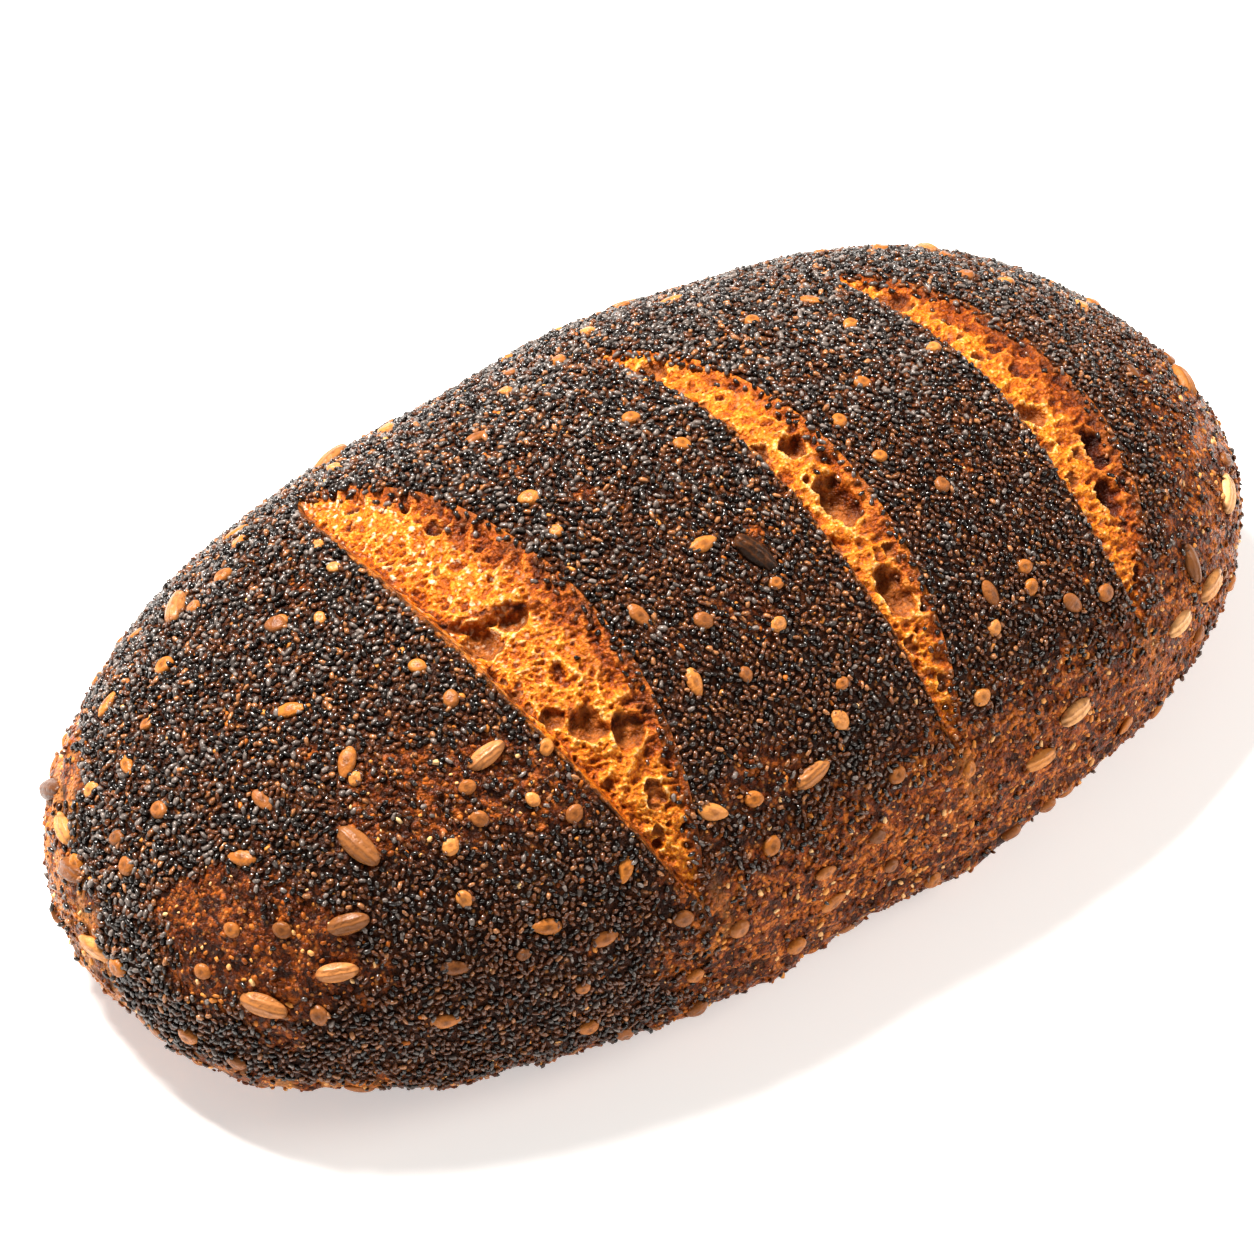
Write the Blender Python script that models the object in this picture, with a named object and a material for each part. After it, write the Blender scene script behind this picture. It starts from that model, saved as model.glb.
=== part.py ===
"""An oval rye loaf, scored three times across the crown, with its larger seeds baked on.

The loaf lies along X on a flat foot, +Z up, with the table at z = 0. Sizes are in metres.
"""

import math
from typing import NamedTuple

import bpy
import numpy as np
from mathutils import Vector
from mathutils.bvhtree import BVHTree

# The loaf as it lies
LENGTH = 0.270
WIDTH = 0.148
CROWN_HEIGHT = 0.086
BELLY_HEIGHT = 0.027

# How full its curves are: 1 is an ellipse, less is squarer
CROWN_FULLNESS = 1.12
FOOT_FULLNESS = 0.48
PLAN_POWER = 2.417
RIGHT_END_WIDER = 0.023
FOOT_CUT = 0.0016

# Unevenness of the baked dough: height, wavelength and random seed of each kind
SWELL = 0.0005
SWELL_WAVE = 0.055
SWELL_DRAW = 1
FOOT_LUMP = 0.0007
FOOT_LUMP_WAVE = 0.016
FOOT_LUMP_DRAW = 2
FOOT_LUMP_TOP = 0.022

# Facets of the smooth dough
STATIONS = 38
STATION_EVENING = 0.15
ROUND_STEPS = 44
FOOT_CORNER = math.radians(31)
CORNER_SPREAD = math.radians(15)
CORNER_EXTRA = 1.8

# Facets of a cut's floor, and how its cutter passes the edges and climbs out of the dough
CUT_ROWS = 26
CUT_COLUMNS = 11
CUT_MARGIN = 1.12
CUT_SPARE = 0.0012
CUT_OVERRUN = 0.012
SIDE_CLIMB = 1.2
END_CLIMB = 0.024
CUT_LID = 0.009

# Torn crumb in the cuts: its relief lies where the floor is deeper than this share of the cut
CRUMB_RELIEF = 0.0006
CRUMB_WAVE = 0.011
CRUMB_DRAW = 3
CRUMB_FROM = 0.2

# Seeds: how deep they are set, how blunt and how far along fattest, and how they are spread
SEED_SUNK = 0.42
SEED_BLUNTNESS = 0.7
SEED_FATTEST = 0.35
SEED_SIZES = (0.85, 1.15)
SCATTER_ROUND = 104
SCATTER_FLAT = 26
SEED_GAP = 0.0085
CUT_CLEAR = 0.0030
FOOT_CLEAR = 0.0085
SEED_DRAW = 41


class Cut(NamedTuple):
    """One score across the crown: its two ends in plan, its width, its bow to the right and its depth."""

    back_end: tuple
    front_end: tuple
    width: float
    widest_at: float
    bow: float
    depth: float
    hollows: tuple


# A hollow is its place along and across the cut, its radius along and across, and its depth
CUTS = (
    Cut(
        (-0.0560, 0.0430),
        (-0.0455, -0.0685),
        0.0250,
        0.60,
        0.0,
        0.0055,
        (
            (0.52, -0.50, 0.0040, 0.0030, 0.0030),
            (0.49, 0.02, 0.0028, 0.0022, 0.0022),
            (0.76, -0.15, 0.0028, 0.0026, 0.0026),
            (0.80, 0.30, 0.0028, 0.0026, 0.0028),
        ),
    ),
    Cut(
        (0.0080, 0.0320),
        (0.0165, -0.0715),
        0.0150,
        0.57,
        0.0055,
        0.0042,
        (
            (0.13, 0.00, 0.0026, 0.0020, 0.0020),
            (0.47, 0.30, 0.0024, 0.0020, 0.0026),
            (0.60, 0.25, 0.0048, 0.0028, 0.0034),
            (0.78, 0.10, 0.0040, 0.0024, 0.0026),
        ),
    ),
    Cut(
        (0.0665, 0.0275),
        (0.0705, -0.0655),
        0.0210,
        0.58,
        0.0090,
        0.0050,
        (
            (0.15, 0.05, 0.0030, 0.0024, 0.0022),
            (0.58, -0.20, 0.0028, 0.0024, 0.0024),
            (0.70, 0.55, 0.0040, 0.0020, 0.0026),
            (0.80, 0.35, 0.0030, 0.0020, 0.0026),
        ),
    ),
)
BACK_BLUNTNESS = 0.55
FRONT_BLUNTNESS = 0.70
LEFT_WALL = 0.30
FLOOR_EASE = 0.75
TIP_FADE = 0.7


class Kind(NamedTuple):
    """One kind of seed: its mean length, width and thickness, its facets, and how pointed it is."""

    length: float
    width: float
    thickness: float
    rings: int
    sides: int
    pointed: float


SUNFLOWER = Kind(0.0098, 0.0050, 0.0030, 3, 6, 0.45)
OAT = Kind(0.0088, 0.0038, 0.0026, 3, 6, 0.10)
LINSEED = Kind(0.0058, 0.0032, 0.0017, 2, 6, 0.35)
ROUND = Kind(0.0042, 0.0035, 0.0020, 2, 5, 0.10)

# The largest seeds, each set by hand: its kind, x and y in mm, and turn in degrees
PLACED = (
    (SUNFLOWER, -97, -33, -88),
    (SUNFLOWER, -105, -40, -8),
    (SUNFLOWER, -110, -43, -22),
    (SUNFLOWER, -70, -36, 6),
    (SUNFLOWER, -122, -36, -70),
    (SUNFLOWER, -15, -65, 25),
    (SUNFLOWER, -4, -33, -66),
    (SUNFLOWER, 90, -58, -71),
    (SUNFLOWER, -123, 34, -60),
    (SUNFLOWER, -40, 56, 20),
    (SUNFLOWER, 38, 60, -35),
    (SUNFLOWER, 98, 34, 70),
    (SUNFLOWER, -88, 40, 50),
    (OAT, 47, -71, 13),
    (OAT, 36, -73, 4),
    (OAT, 82, -64, 21),
    (OAT, 95, -59, 25),
    (OAT, 111, -46, 68),
    (OAT, 123, -20, 80),
    (OAT, 118, 38, -50),
    (OAT, -128, 22, 70),
    (OAT, -60, 68, 5),
    (OAT, 12, 72, -12),
    (LINSEED, -92, -55, -47),
    (LINSEED, -96, -57, -21),
    (LINSEED, -65, -65, -10),
    (LINSEED, -105, -14, -91),
    (LINSEED, 106, -21, -97),
    (LINSEED, -27, 24, -6),
    (LINSEED, 54, -61, -71),
    (LINSEED, -29, -46, -99),
    (LINSEED, -31, -32, -80),
    (LINSEED, -12, -27, -3),
    (LINSEED, -109, 34, 1),
    (LINSEED, -116, 16, -112),
)

CRUST_COLOUR = (0.115, 0.045, 0.022, 1.0)
CRUST_ROUGHNESS = 0.55
SHARP_EDGE = math.radians(50)


def waves(points, wavelength, seed, count=12):
    """Smooth random relief of about unit height: the sum of plane sine waves in random directions."""
    rng = np.random.default_rng(seed)
    ways = rng.normal(size=(count, 3))
    ways /= np.linalg.norm(ways, axis=1, keepdims=True)
    paces = 2 * math.pi / (wavelength * rng.uniform(0.7, 1.4, count))
    shifts = rng.uniform(0, 2 * math.pi, count)
    return np.sin(points @ (ways * paces[:, None]).T + shifts).sum(axis=1) / math.sqrt(count)


def smooth_step(low, high, value):
    """0 below low, 1 above high, and an S curve between them."""
    share = np.clip((value - low) / (high - low), 0, 1)
    return share * share * (3 - 2 * share)


def sizes_about_belly(z):
    """For heights above or below the belly: the fullness there and the half height on that side."""
    above = z > 0
    fullness = np.where(above, CROWN_FULLNESS, FOOT_FULLNESS)
    rise = np.where(above, CROWN_HEIGHT - BELLY_HEIGHT, BELLY_HEIGHT + FOOT_CUT)
    return fullness, rise


def fullness_sum(points):
    """The loaf's superellipsoid sum: 1 on the smooth dough, less inside it."""
    x = points[:, 0] / (LENGTH / 2)
    y = points[:, 1] / (WIDTH / 2 * (1 + RIGHT_END_WIDER * x))
    z = points[:, 2] - BELLY_HEIGHT
    fullness, rise = sizes_about_belly(z)
    plan = (np.abs(x) ** PLAN_POWER + np.abs(y) ** PLAN_POWER) ** (1 / PLAN_POWER)
    return plan ** (2 / fullness) + np.abs(z / rise) ** (2 / fullness)


def outward(points):
    """Unit normals of the smooth dough: the slope of its superellipsoid sum."""
    step = 1e-5
    slopes = [
        fullness_sum(points + step * axis) - fullness_sum(points - step * axis)
        for axis in np.eye(3)
    ]
    normals = np.stack(slopes, axis=1)
    return normals / np.linalg.norm(normals, axis=1, keepdims=True)


def smooth_dough(ways):
    """Where rays from the middle of the belly, in these directions, leave the smooth dough."""
    x = ways[:, 0] / (LENGTH / 2)
    y = ways[:, 1] / (WIDTH / 2)
    fullness, rise = sizes_about_belly(ways[:, 2])
    plan = (np.abs(x) ** PLAN_POWER + np.abs(y) ** PLAN_POWER) ** (1 / PLAN_POWER)
    total = plan ** (2 / fullness) + np.abs(ways[:, 2] / rise) ** (2 / fullness)
    points = ways * total[:, None] ** (-fullness / 2)[:, None]
    points[:, 1] *= 1 + RIGHT_END_WIDER * points[:, 0] / (LENGTH / 2)
    points[:, 2] += BELLY_HEIGHT
    return points


def unevenness(points):
    """How far the baked dough stands out from the smooth dough: long swells, and lumps near the foot."""
    swell = SWELL * waves(points, SWELL_WAVE, SWELL_DRAW)
    low = 1 - smooth_step(0, FOOT_LUMP_TOP, points[:, 2])
    return swell + FOOT_LUMP * low * waves(points, FOOT_LUMP_WAVE, FOOT_LUMP_DRAW)


def baked(points):
    """Smooth dough made uneven along its normals, and flat where it lies on the table."""
    out = points + outward(points) * unevenness(points)[:, None]
    flat = points[:, 2] <= 0
    out[flat] = points[flat]
    out[:, 2] = np.maximum(out[:, 2], 0)
    return out


def crown_over(x, y):
    """The smooth dough above these places in plan."""
    across = y / (WIDTH / 2 * (1 + RIGHT_END_WIDER * x / (LENGTH / 2)))
    along = x / (LENGTH / 2)
    plan = (np.abs(along) ** PLAN_POWER + np.abs(across) ** PLAN_POWER) ** (1 / PLAN_POWER)
    rise = np.clip(1 - plan ** (2 / CROWN_FULLNESS), 0, 1) ** (CROWN_FULLNESS / 2)
    return np.stack([x, y, BELLY_HEIGHT + (CROWN_HEIGHT - BELLY_HEIGHT) * rise], axis=1)


def half_width(cut, along):
    """Half a cut's width at a share of its length: widest at widest_at, closing at both ends."""
    back = (cut.widest_at - along) / cut.widest_at
    front = (along - cut.widest_at) / (1 - cut.widest_at)
    reach = np.where(along < cut.widest_at, back, front)
    bluntness = np.where(along < cut.widest_at, BACK_BLUNTNESS, FRONT_BLUNTNESS)
    return cut.width / 2 * np.clip(1 - reach**2, 0, 1) ** bluntness


def middle_of(cut, along):
    """The cut's middle line in plan: straight from end to end, bowed to the right."""
    x = cut.back_end[0] + (cut.front_end[0] - cut.back_end[0]) * along
    y = cut.back_end[1] + (cut.front_end[1] - cut.back_end[1]) * along
    return x + cut.bow * 4 * along * (1 - along), y


def floor_depth(cut, along, across, half):
    """How deep the torn crumb lies: a steep wall at the left lip, then a rise to the right edge."""
    wall = smooth_step(-1, -1 + LEFT_WALL, across)
    ease = np.clip((1 - across) / (2 - LEFT_WALL), 0, 1) ** FLOOR_EASE
    depth = cut.depth * wall * ease * (half / (cut.width / 2)) ** TIP_FADE
    length = abs(cut.front_end[1] - cut.back_end[1])
    for at, side, reach, breadth, drop in cut.hollows:
        away = ((along - at) * length / reach) ** 2 + ((across - side) * half / breadth) ** 2
        depth = depth + drop * np.exp(-(away**1.5))
    return depth


def mesh_of(name, points, faces):
    """A smooth-shaded mesh of these points and faces."""
    mesh = bpy.data.meshes.new(name)
    mesh.from_pydata([tuple(p) for p in points], [], [tuple(int(i) for i in f) for f in faces])
    mesh.validate()
    mesh.shade_smooth()
    return mesh


def add_object(name, mesh, collection, material=None):
    """An object of this mesh, linked to the collection."""
    obj = bpy.data.objects.new(name, mesh)
    collection.objects.link(obj)
    if material:
        mesh.materials.append(material)
    return obj


def ring_faces(rings, sides):
    """Faces of a closed body lofted from a first pole, rings of points, and a last pole."""
    last = rings * sides + 1
    faces = []
    for side in range(sides):
        after = (side + 1) % sides
        faces.append((0, 1 + after, 1 + side))
        faces.append((last, 1 + (rings - 1) * sides + side, 1 + (rings - 1) * sides + after))
        for ring in range(rings - 1):
            low = 1 + ring * sides
            high = low + sides
            faces.append((low + side, low + after, high + after, high + side))
    return faces


def steps_round():
    """Angles round the long axis, closer together where the dough turns in to its foot."""
    fine = np.linspace(0, 2 * math.pi, 721)
    below = np.arcsin(np.abs(np.sin(fine)))
    near_corner = np.exp(-(((below - FOOT_CORNER) / CORNER_SPREAD) ** 2)) * (np.sin(fine) < 0)
    crowding = np.cumsum(1 + CORNER_EXTRA * near_corner)
    shares = (crowding - crowding[0]) / (crowding[-1] - crowding[0])
    return np.interp(np.arange(ROUND_STEPS) / ROUND_STEPS, shares, fine)


def dough_mesh():
    """The dough: rings round the long axis, from the left end to the right end."""
    along = np.linspace(0, math.pi, STATIONS + 2)
    along = along + STATION_EVENING * np.sin(2 * along)
    round_axis = steps_round()
    a, b = (g.ravel() for g in np.meshgrid(along[1:-1], round_axis, indexing="ij"))
    ways = np.stack([-np.cos(a), np.sin(a) * np.cos(b), np.sin(a) * np.sin(b)], axis=1)
    ways = np.concatenate([[[-1, 0, 0]], ways, [[1, 0, 0]]])
    points = baked(smooth_dough(ways * (LENGTH / 2, WIDTH / 2, CROWN_HEIGHT / 2)))
    return mesh_of("loaf", points, ring_faces(STATIONS, ROUND_STEPS))


def cutter_mesh(name, cut):
    """What is torn out of one cut: the crumb's floor below, a lid above the crown."""
    along = np.linspace(-CUT_OVERRUN, 1 + CUT_OVERRUN, CUT_ROWS)
    across = np.linspace(-CUT_MARGIN, CUT_MARGIN, CUT_COLUMNS)
    s, t = (g.ravel() for g in np.meshgrid(along, across, indexing="ij"))
    half = half_width(cut, np.clip(s, 0, 1))
    x, y = middle_of(cut, s)
    places = crown_over(x + t * (half + CUT_SPARE), y)
    t_true = t * (half + CUT_SPARE) / np.maximum(half, 1e-4)
    normals = outward(places)
    skin = places + normals * unevenness(places)[:, None]
    depth = floor_depth(cut, s, t_true, half)
    relief = CRUMB_RELIEF * waves(places, CRUMB_WAVE, CRUMB_DRAW) * (depth > cut.depth * CRUMB_FROM)
    # Past its edges the floor climbs out of the dough, so the edge is where the two meet.
    climb = SIDE_CLIMB * half * np.maximum(np.abs(t_true) - 1, 0)
    climb = climb + END_CLIMB * np.maximum(np.abs(s - 0.5) - 0.5, 0)
    floor = skin - normals * (depth - relief - climb)[:, None]
    lid = skin + normals * CUT_LID
    points = np.concatenate([floor, lid])
    return mesh_of(name, points, slab_faces(CUT_ROWS, CUT_COLUMNS))


def slab_faces(rows, columns):
    """Faces of a slab: two grids of points, the lower first, and the four sides between them."""
    count = rows * columns
    faces = []
    for row in range(rows - 1):
        for column in range(columns - 1):
            a = row * columns + column
            b, c, d = a + 1, a + columns + 1, a + columns
            faces.append((a, b, c, d))
            faces.append((d + count, c + count, b + count, a + count))
    edge = [(0, c) for c in range(columns - 1)]
    edge += [(r, columns - 1) for r in range(rows - 1)]
    edge += [(rows - 1, c) for c in range(columns - 1, 0, -1)]
    edge += [(r, 0) for r in range(rows - 1, 0, -1)]
    ids = [r * columns + c for r, c in edge]
    for here, there in zip(ids, ids[1:] + ids[:1]):
        faces.append((there, here, here + count, there + count))
    return faces


def nearest_cut_gap(x, y):
    """How far a place in plan lies outside the nearest cut, less than 0 inside one."""
    gaps = []
    for cut in CUTS:
        span = cut.front_end[1] - cut.back_end[1]
        along = np.clip((y - cut.back_end[1]) / span, 0, 1)
        centre, _ = middle_of(cut, along)
        sideways = np.abs(x - centre) - half_width(cut, along)
        past_end = np.maximum(y - cut.back_end[1], cut.front_end[1] - y)
        gaps.append(np.maximum(sideways, past_end))
    return np.min(gaps, axis=0)


def scatter_places(rng, taken, count):
    """Places for seeds on the dough, even by area, apart from each other, the cuts and the foot."""
    half = np.array([LENGTH / 2, WIDTH / 2, CROWN_HEIGHT / 2])
    found = [Vector(p) for p in taken]
    kept = []
    while len(kept) < count:
        way = rng.normal(size=3)
        way /= np.linalg.norm(way)
        # A stretched sphere's points crowd at its ends, so those there are kept less often.
        if rng.uniform() > np.linalg.norm(way / half) * half.min():
            continue
        point = smooth_dough((way * half)[None])[0]
        x, y, z = point
        if z < FOOT_CLEAR or (z > BELLY_HEIGHT and nearest_cut_gap(x, y) < CUT_CLEAR):
            continue
        place = Vector(point)
        if all((place - other).length > SEED_GAP for other in found):
            found.append(place)
            kept.append(point)
    return kept


def seed_points(kind, size, place, normal, turn):
    """A seed's facets: rings along its length, fattest before the pointed end, set into the skin."""
    shares = np.linspace(0, 1, kind.rings + 2)[1:-1]
    spin = 2 * math.pi * np.arange(kind.sides) / kind.sides
    s, v = (g.ravel() for g in np.meshgrid(shares, spin, indexing="ij"))
    girth = np.sin(math.pi * s) ** SEED_BLUNTNESS * (1 - kind.pointed * (s - SEED_FATTEST))
    local = np.stack([s - 0.5, girth * np.cos(v) / 2, girth * np.sin(v) / 2], axis=1)
    local = np.concatenate([[[-0.5, 0, 0]], local, [[0.5, 0, 0]]])
    local *= np.array([kind.length, kind.width, kind.thickness]) * size
    flat = Vector((math.cos(turn), math.sin(turn), 0))
    up = Vector(normal)
    across = up.cross(flat).normalized()
    ahead = across.cross(up)
    centre = np.array(place) + np.array(normal) * kind.thickness * (0.5 - SEED_SUNK) * size
    return centre + local @ np.array([ahead, across, up])


def add_seeds(dough, collection):
    """The largest seeds where they were set by hand, then the smaller ones scattered by a seeded rule."""
    facets = BVHTree.FromPolygons([v.co for v in dough.vertices], [f.vertices for f in dough.polygons])
    rng = np.random.default_rng(SEED_DRAW)
    kinds = [row[0] for row in PLACED]
    plan = np.array([row[1:3] for row in PLACED]) / 1000
    places = list(crown_over(plan[:, 0], plan[:, 1]))
    turns = [math.radians(row[3]) for row in PLACED]
    kinds += [ROUND] * SCATTER_ROUND + [LINSEED] * SCATTER_FLAT
    loose = scatter_places(rng, places, SCATTER_ROUND + SCATTER_FLAT)
    turns += list(rng.uniform(-math.pi, math.pi, len(loose)))
    places = np.array(places + loose)
    normals = outward(places)
    sizes = rng.uniform(*SEED_SIZES, len(kinds))
    for number, kind in enumerate(kinds):
        place = facets.find_nearest(Vector(places[number]))[0]
        points = seed_points(kind, sizes[number], place, normals[number], turns[number])
        mesh = mesh_of("seed", points, ring_faces(kind.rings, kind.sides))
        add_object(f"seed_{number:03d}", mesh, collection)


def crust_material():
    """Dark brown baked crust with a dull gloss."""
    material = bpy.data.materials.new("seeded_crust")
    material.use_nodes = True
    shader = material.node_tree.nodes["Principled BSDF"]
    shader.inputs["Base Color"].default_value = CRUST_COLOUR
    shader.inputs["Roughness"].default_value = CRUST_ROUGHNESS
    return material


def apply_boolean(obj, operation, collection):
    """One Boolean with every object of a collection, applied, and the collection's objects removed."""
    modifier = obj.modifiers.new(operation.lower(), "BOOLEAN")
    modifier.operation = operation
    modifier.operand_type = "COLLECTION"
    modifier.collection = collection
    modifier.solver = "EXACT"
    graph = bpy.context.evaluated_depsgraph_get()
    joined = bpy.data.meshes.new_from_object(obj.evaluated_get(graph))
    obj.modifiers.clear()
    obj.data = joined
    for helper in list(collection.objects):
        bpy.data.objects.remove(helper)
    bpy.data.collections.remove(collection)


def build():
    """The loaf: its dough, then its cuts taken out, then its seeds fused on."""
    for obj in list(bpy.data.objects):
        bpy.data.objects.remove(obj)
    scene = bpy.context.scene.collection
    dough = dough_mesh()
    loaf = add_object("loaf", dough, scene, crust_material())

    cutters = bpy.data.collections.new("cutters")
    scene.children.link(cutters)
    for number, cut in enumerate(CUTS):
        add_object(f"cutter_{number}", cutter_mesh("cutter", cut), cutters)
    apply_boolean(loaf, "DIFFERENCE", cutters)

    seeds = bpy.data.collections.new("seeds")
    scene.children.link(seeds)
    add_seeds(dough, seeds)
    apply_boolean(loaf, "UNION", seeds)
    loaf.data.shade_smooth()
    loaf.data.set_sharp_from_angle(angle=SHARP_EDGE)


build()
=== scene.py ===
"""A seeded rye loaf as it looks: its crust, the torn crumb in its cuts, and the seeds baked onto it.

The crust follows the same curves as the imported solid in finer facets, and each large seed of the solid
lies here at the same spot. The loaf lies along X on its flat foot, +Z up. Sizes are in metres.
"""

import math
from typing import NamedTuple

import bpy
import numpy as np
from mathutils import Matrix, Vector


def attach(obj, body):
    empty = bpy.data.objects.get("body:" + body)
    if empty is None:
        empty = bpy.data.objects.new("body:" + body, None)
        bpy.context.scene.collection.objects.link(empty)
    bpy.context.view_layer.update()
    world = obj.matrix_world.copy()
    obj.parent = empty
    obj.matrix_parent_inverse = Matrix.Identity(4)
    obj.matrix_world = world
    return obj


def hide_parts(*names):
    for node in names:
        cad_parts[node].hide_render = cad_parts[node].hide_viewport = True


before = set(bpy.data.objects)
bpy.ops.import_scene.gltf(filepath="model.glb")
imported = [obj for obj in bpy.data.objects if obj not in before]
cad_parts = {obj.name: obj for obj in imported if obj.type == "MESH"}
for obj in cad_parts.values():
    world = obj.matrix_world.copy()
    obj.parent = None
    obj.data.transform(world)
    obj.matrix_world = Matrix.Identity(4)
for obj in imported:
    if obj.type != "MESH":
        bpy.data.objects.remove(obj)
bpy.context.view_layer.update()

MM = 0.001

# The loaf as it lies, with the fullness of its curves
LENGTH = 0.270
WIDTH = 0.148
CROWN_HEIGHT = 0.086
BELLY_HEIGHT = 0.027
CROWN_FULLNESS = 1.12
FOOT_FULLNESS = 0.48
PLAN_POWER = 2.417
RIGHT_END_WIDER = 0.023
FOOT_CUT = 0.0016

# Unevenness of the baked dough: height, wavelength and random seed of each kind
SWELL = 0.0005
SWELL_WAVE = 0.055
SWELL_DRAW = 1
FOOT_LUMP = 0.0007
FOOT_LUMP_WAVE = 0.016
FOOT_LUMP_DRAW = 2
FOOT_LUMP_TOP = 0.022
BLISTER = 0.00022
BLISTER_WAVE = 0.0048
BLISTER_DRAW = 4

# The broken crease above the foot, and the flaky folds round it
CREASE_DEPTH = 0.0012
FOLD = 0.00055
FOLD_WAVE = 0.0038
FOLD_DRAW = 29

# Facets of the crust, with few round the flat foot
CRUST_STATIONS = 330
STATION_EVENING = 0.15
SIDE_STEPS = 258
FOOT_STEPS = 12
FOOT_SPREAD = math.radians(58)


class Cut(NamedTuple):
    """One score across the crown, with its ends in plan.

    Places along it are shares from back to front, and places across it run from -1 at the left lip to 1
    at the right. A hollow is its place along and across, its radius along and across, and its depth. A
    bubble is its place along and across, and its radius. The toast begins and is full at places across.
    """

    back_end: tuple
    front_end: tuple
    width: float
    widest_at: float
    bow: float
    depth: float
    hollows: tuple
    bubbles: tuple
    toast_from: float
    toast_full: float


# The numbers of two of the cuts below, which lie from left to right
LEFT = 0
MIDDLE = 1

CUTS = (
    Cut(
        (-0.0560, 0.0430),
        (-0.0455, -0.0685),
        0.0250,
        0.60,
        0.0,
        0.0055,
        (
            (0.535, -0.50, 0.0038, 0.0030, 0.0026),
            (0.53, 0.10, 0.0026, 0.0026, 0.0022),
            (0.76, -0.15, 0.0028, 0.0026, 0.0026),
            (0.80, 0.30, 0.0028, 0.0026, 0.0028),
        ),
        (
            (0.11, 0.10, 0.0011), (0.29, 0.49, 0.0019), (0.31, -0.28, 0.0011), (0.36, -0.11, 0.0012),
            (0.535, -0.78, 0.0015), (0.62, -0.77, 0.0009), (0.65, -0.71, 0.0011), (0.68, -0.68, 0.0009),
            (0.72, -0.56, 0.0023), (0.85, -0.55, 0.0010), (0.89, 0.17, 0.0019), (0.93, -0.30, 0.0010),
        ),
        0.24,
        1.02,
    ),
    Cut(
        (0.0080, 0.0320),
        (0.0165, -0.0715),
        0.0150,
        0.57,
        0.0055,
        0.0042,
        (
            (0.13, 0.00, 0.0026, 0.0020, 0.0020),
            (0.47, 0.30, 0.0024, 0.0020, 0.0036),
            (0.60, 0.25, 0.0048, 0.0028, 0.0046),
            (0.78, 0.10, 0.0040, 0.0024, 0.0034),
        ),
        (
            (0.16, -0.50, 0.0015), (0.28, -0.50, 0.0013), (0.37, -0.55, 0.0015), (0.447, -0.58, 0.0021),
            (0.54, -0.10, 0.0012), (0.72, 0.62, 0.0014), (0.82, 0.80, 0.0014), (0.86, -0.25, 0.0013),
            (0.92, 0.40, 0.0011),
        ),
        0.20,
        1.12,
    ),
    Cut(
        (0.0665, 0.0275),
        (0.0705, -0.0655),
        0.0210,
        0.58,
        0.0090,
        0.0050,
        (
            (0.15, 0.05, 0.0030, 0.0024, 0.0022),
            (0.58, -0.20, 0.0028, 0.0024, 0.0030),
            (0.70, 0.55, 0.0040, 0.0020, 0.0038),
            (0.80, 0.35, 0.0030, 0.0020, 0.0036),
        ),
        (
            (0.17, -0.45, 0.0018), (0.306, -0.44, 0.0010), (0.32, 0.03, 0.0010), (0.392, -0.10, 0.0019),
            (0.388, 0.36, 0.0014), (0.666, -0.42, 0.0017), (0.698, 0.13, 0.0016), (0.75, -0.28, 0.0014),
            (0.78, 0.75, 0.0012), (0.86, 0.50, 0.0012), (0.93, 0.45, 0.0010),
        ),
        -0.12,
        0.98,
    ),
)

# How blunt the cuts' ends are, how wide the left wall is, and how the floor rises to the right and the ends
BACK_BLUNTNESS = 0.55
FRONT_BLUNTNESS = 0.70
LEFT_WALL = 0.30
FLOOR_EASE = 0.75
TIP_FADE = 0.7

# How far the hollows' edges are shaken, and the bubbles' depth as a share of their radius and their rims
HOLLOW_SHAKE = 0.00042
HOLLOW_SHAKE_WAVE = 0.0034
BUBBLE_DEPTH = 0.80
BUBBLE_RIM = 0.00016

# The crumb in a cut: the spacing of its points, its skirt under the crust, its lips, underside and strands
CRUMB_STEP = 0.00024
LIP_OVERLAP = 0.0006
SKIRT_SLOPE = 2.0
LEFT_LIP = 0.0007
LEFT_LIP_IN = 0.0005
LEFT_LIP_WIDE = 0.0006
RIGHT_LIP = 0.0004
RIGHT_LIP_IN = 0.0010
RIGHT_LIP_WIDE = 0.0011
UNDER_DEPTH = 0.0036
WALL_STRANDS = 0.00022

# The ledge torn across the left cut, and the trench in the crust under each crumb
LEDGE_DROP = 0.0038
LEDGE_FADE = 0.060
TRENCH_MARGIN = 0.0042
TRENCH_SLOPE = 3.0

# Pores of the crumb, coarse to fine: spacing, largest radius, depth, share of places with one, random seed
PORES = (
    (0.0052, 0.0021, 0.0014, 0.22, 16),
    (0.0027, 0.0012, 0.0010, 0.34, 12),
    (0.0014, 0.00062, 0.00040, 0.30, 13),
    (0.0008, 0.00036, 0.00018, 0.36, 14),
)
PORE_SHAKE = 0.00040
PORE_SHAKE_FINE = 0.00010

# Pores in a row beside the left lip, as above, and the burnt spots of the left cut: shares along and across
LIP_PORES = (0.0028, 0.0014, 0.0017, 0.85, 15)
BURNT_SPOTS = ((0.13, 0.95), (0.11, 0.24), (0.14, -0.28), (0.28, 0.41), (0.78, 0.17), (0.73, -0.25))

# Strands and grain of the crumb: wavelength, height and random seed, and the finer ones in the narrow cuts
STRANDS = (
    (0.0068, 0.00070, 61),
    (0.0030, 0.00040, 62),
    (0.0014, 0.00018, 63),
    (0.0007, 0.00008, 64),
)
FINE_STRAND = 0.002
FINE_IN_NARROW_CUTS = 0.6

# The crumb's painted light and shade, paler on crests and darker in pores: its middle tone, the height and
# pore depth that change it by 1, and the blurs' reach
RELIEF_SHADE_TONE = 0.56
RELIEF_SHADE_HEIGHT = 0.0017
RELIEF_SHADE_PORE = 0.0022
NEAR_BLUR = 5
WIDE_BLUR = 14


class Kind(NamedTuple):
    """One kind of seed: its mean length, width and thickness, and how pointed it is."""

    length: float
    width: float
    thickness: float
    pointed: float


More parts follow.
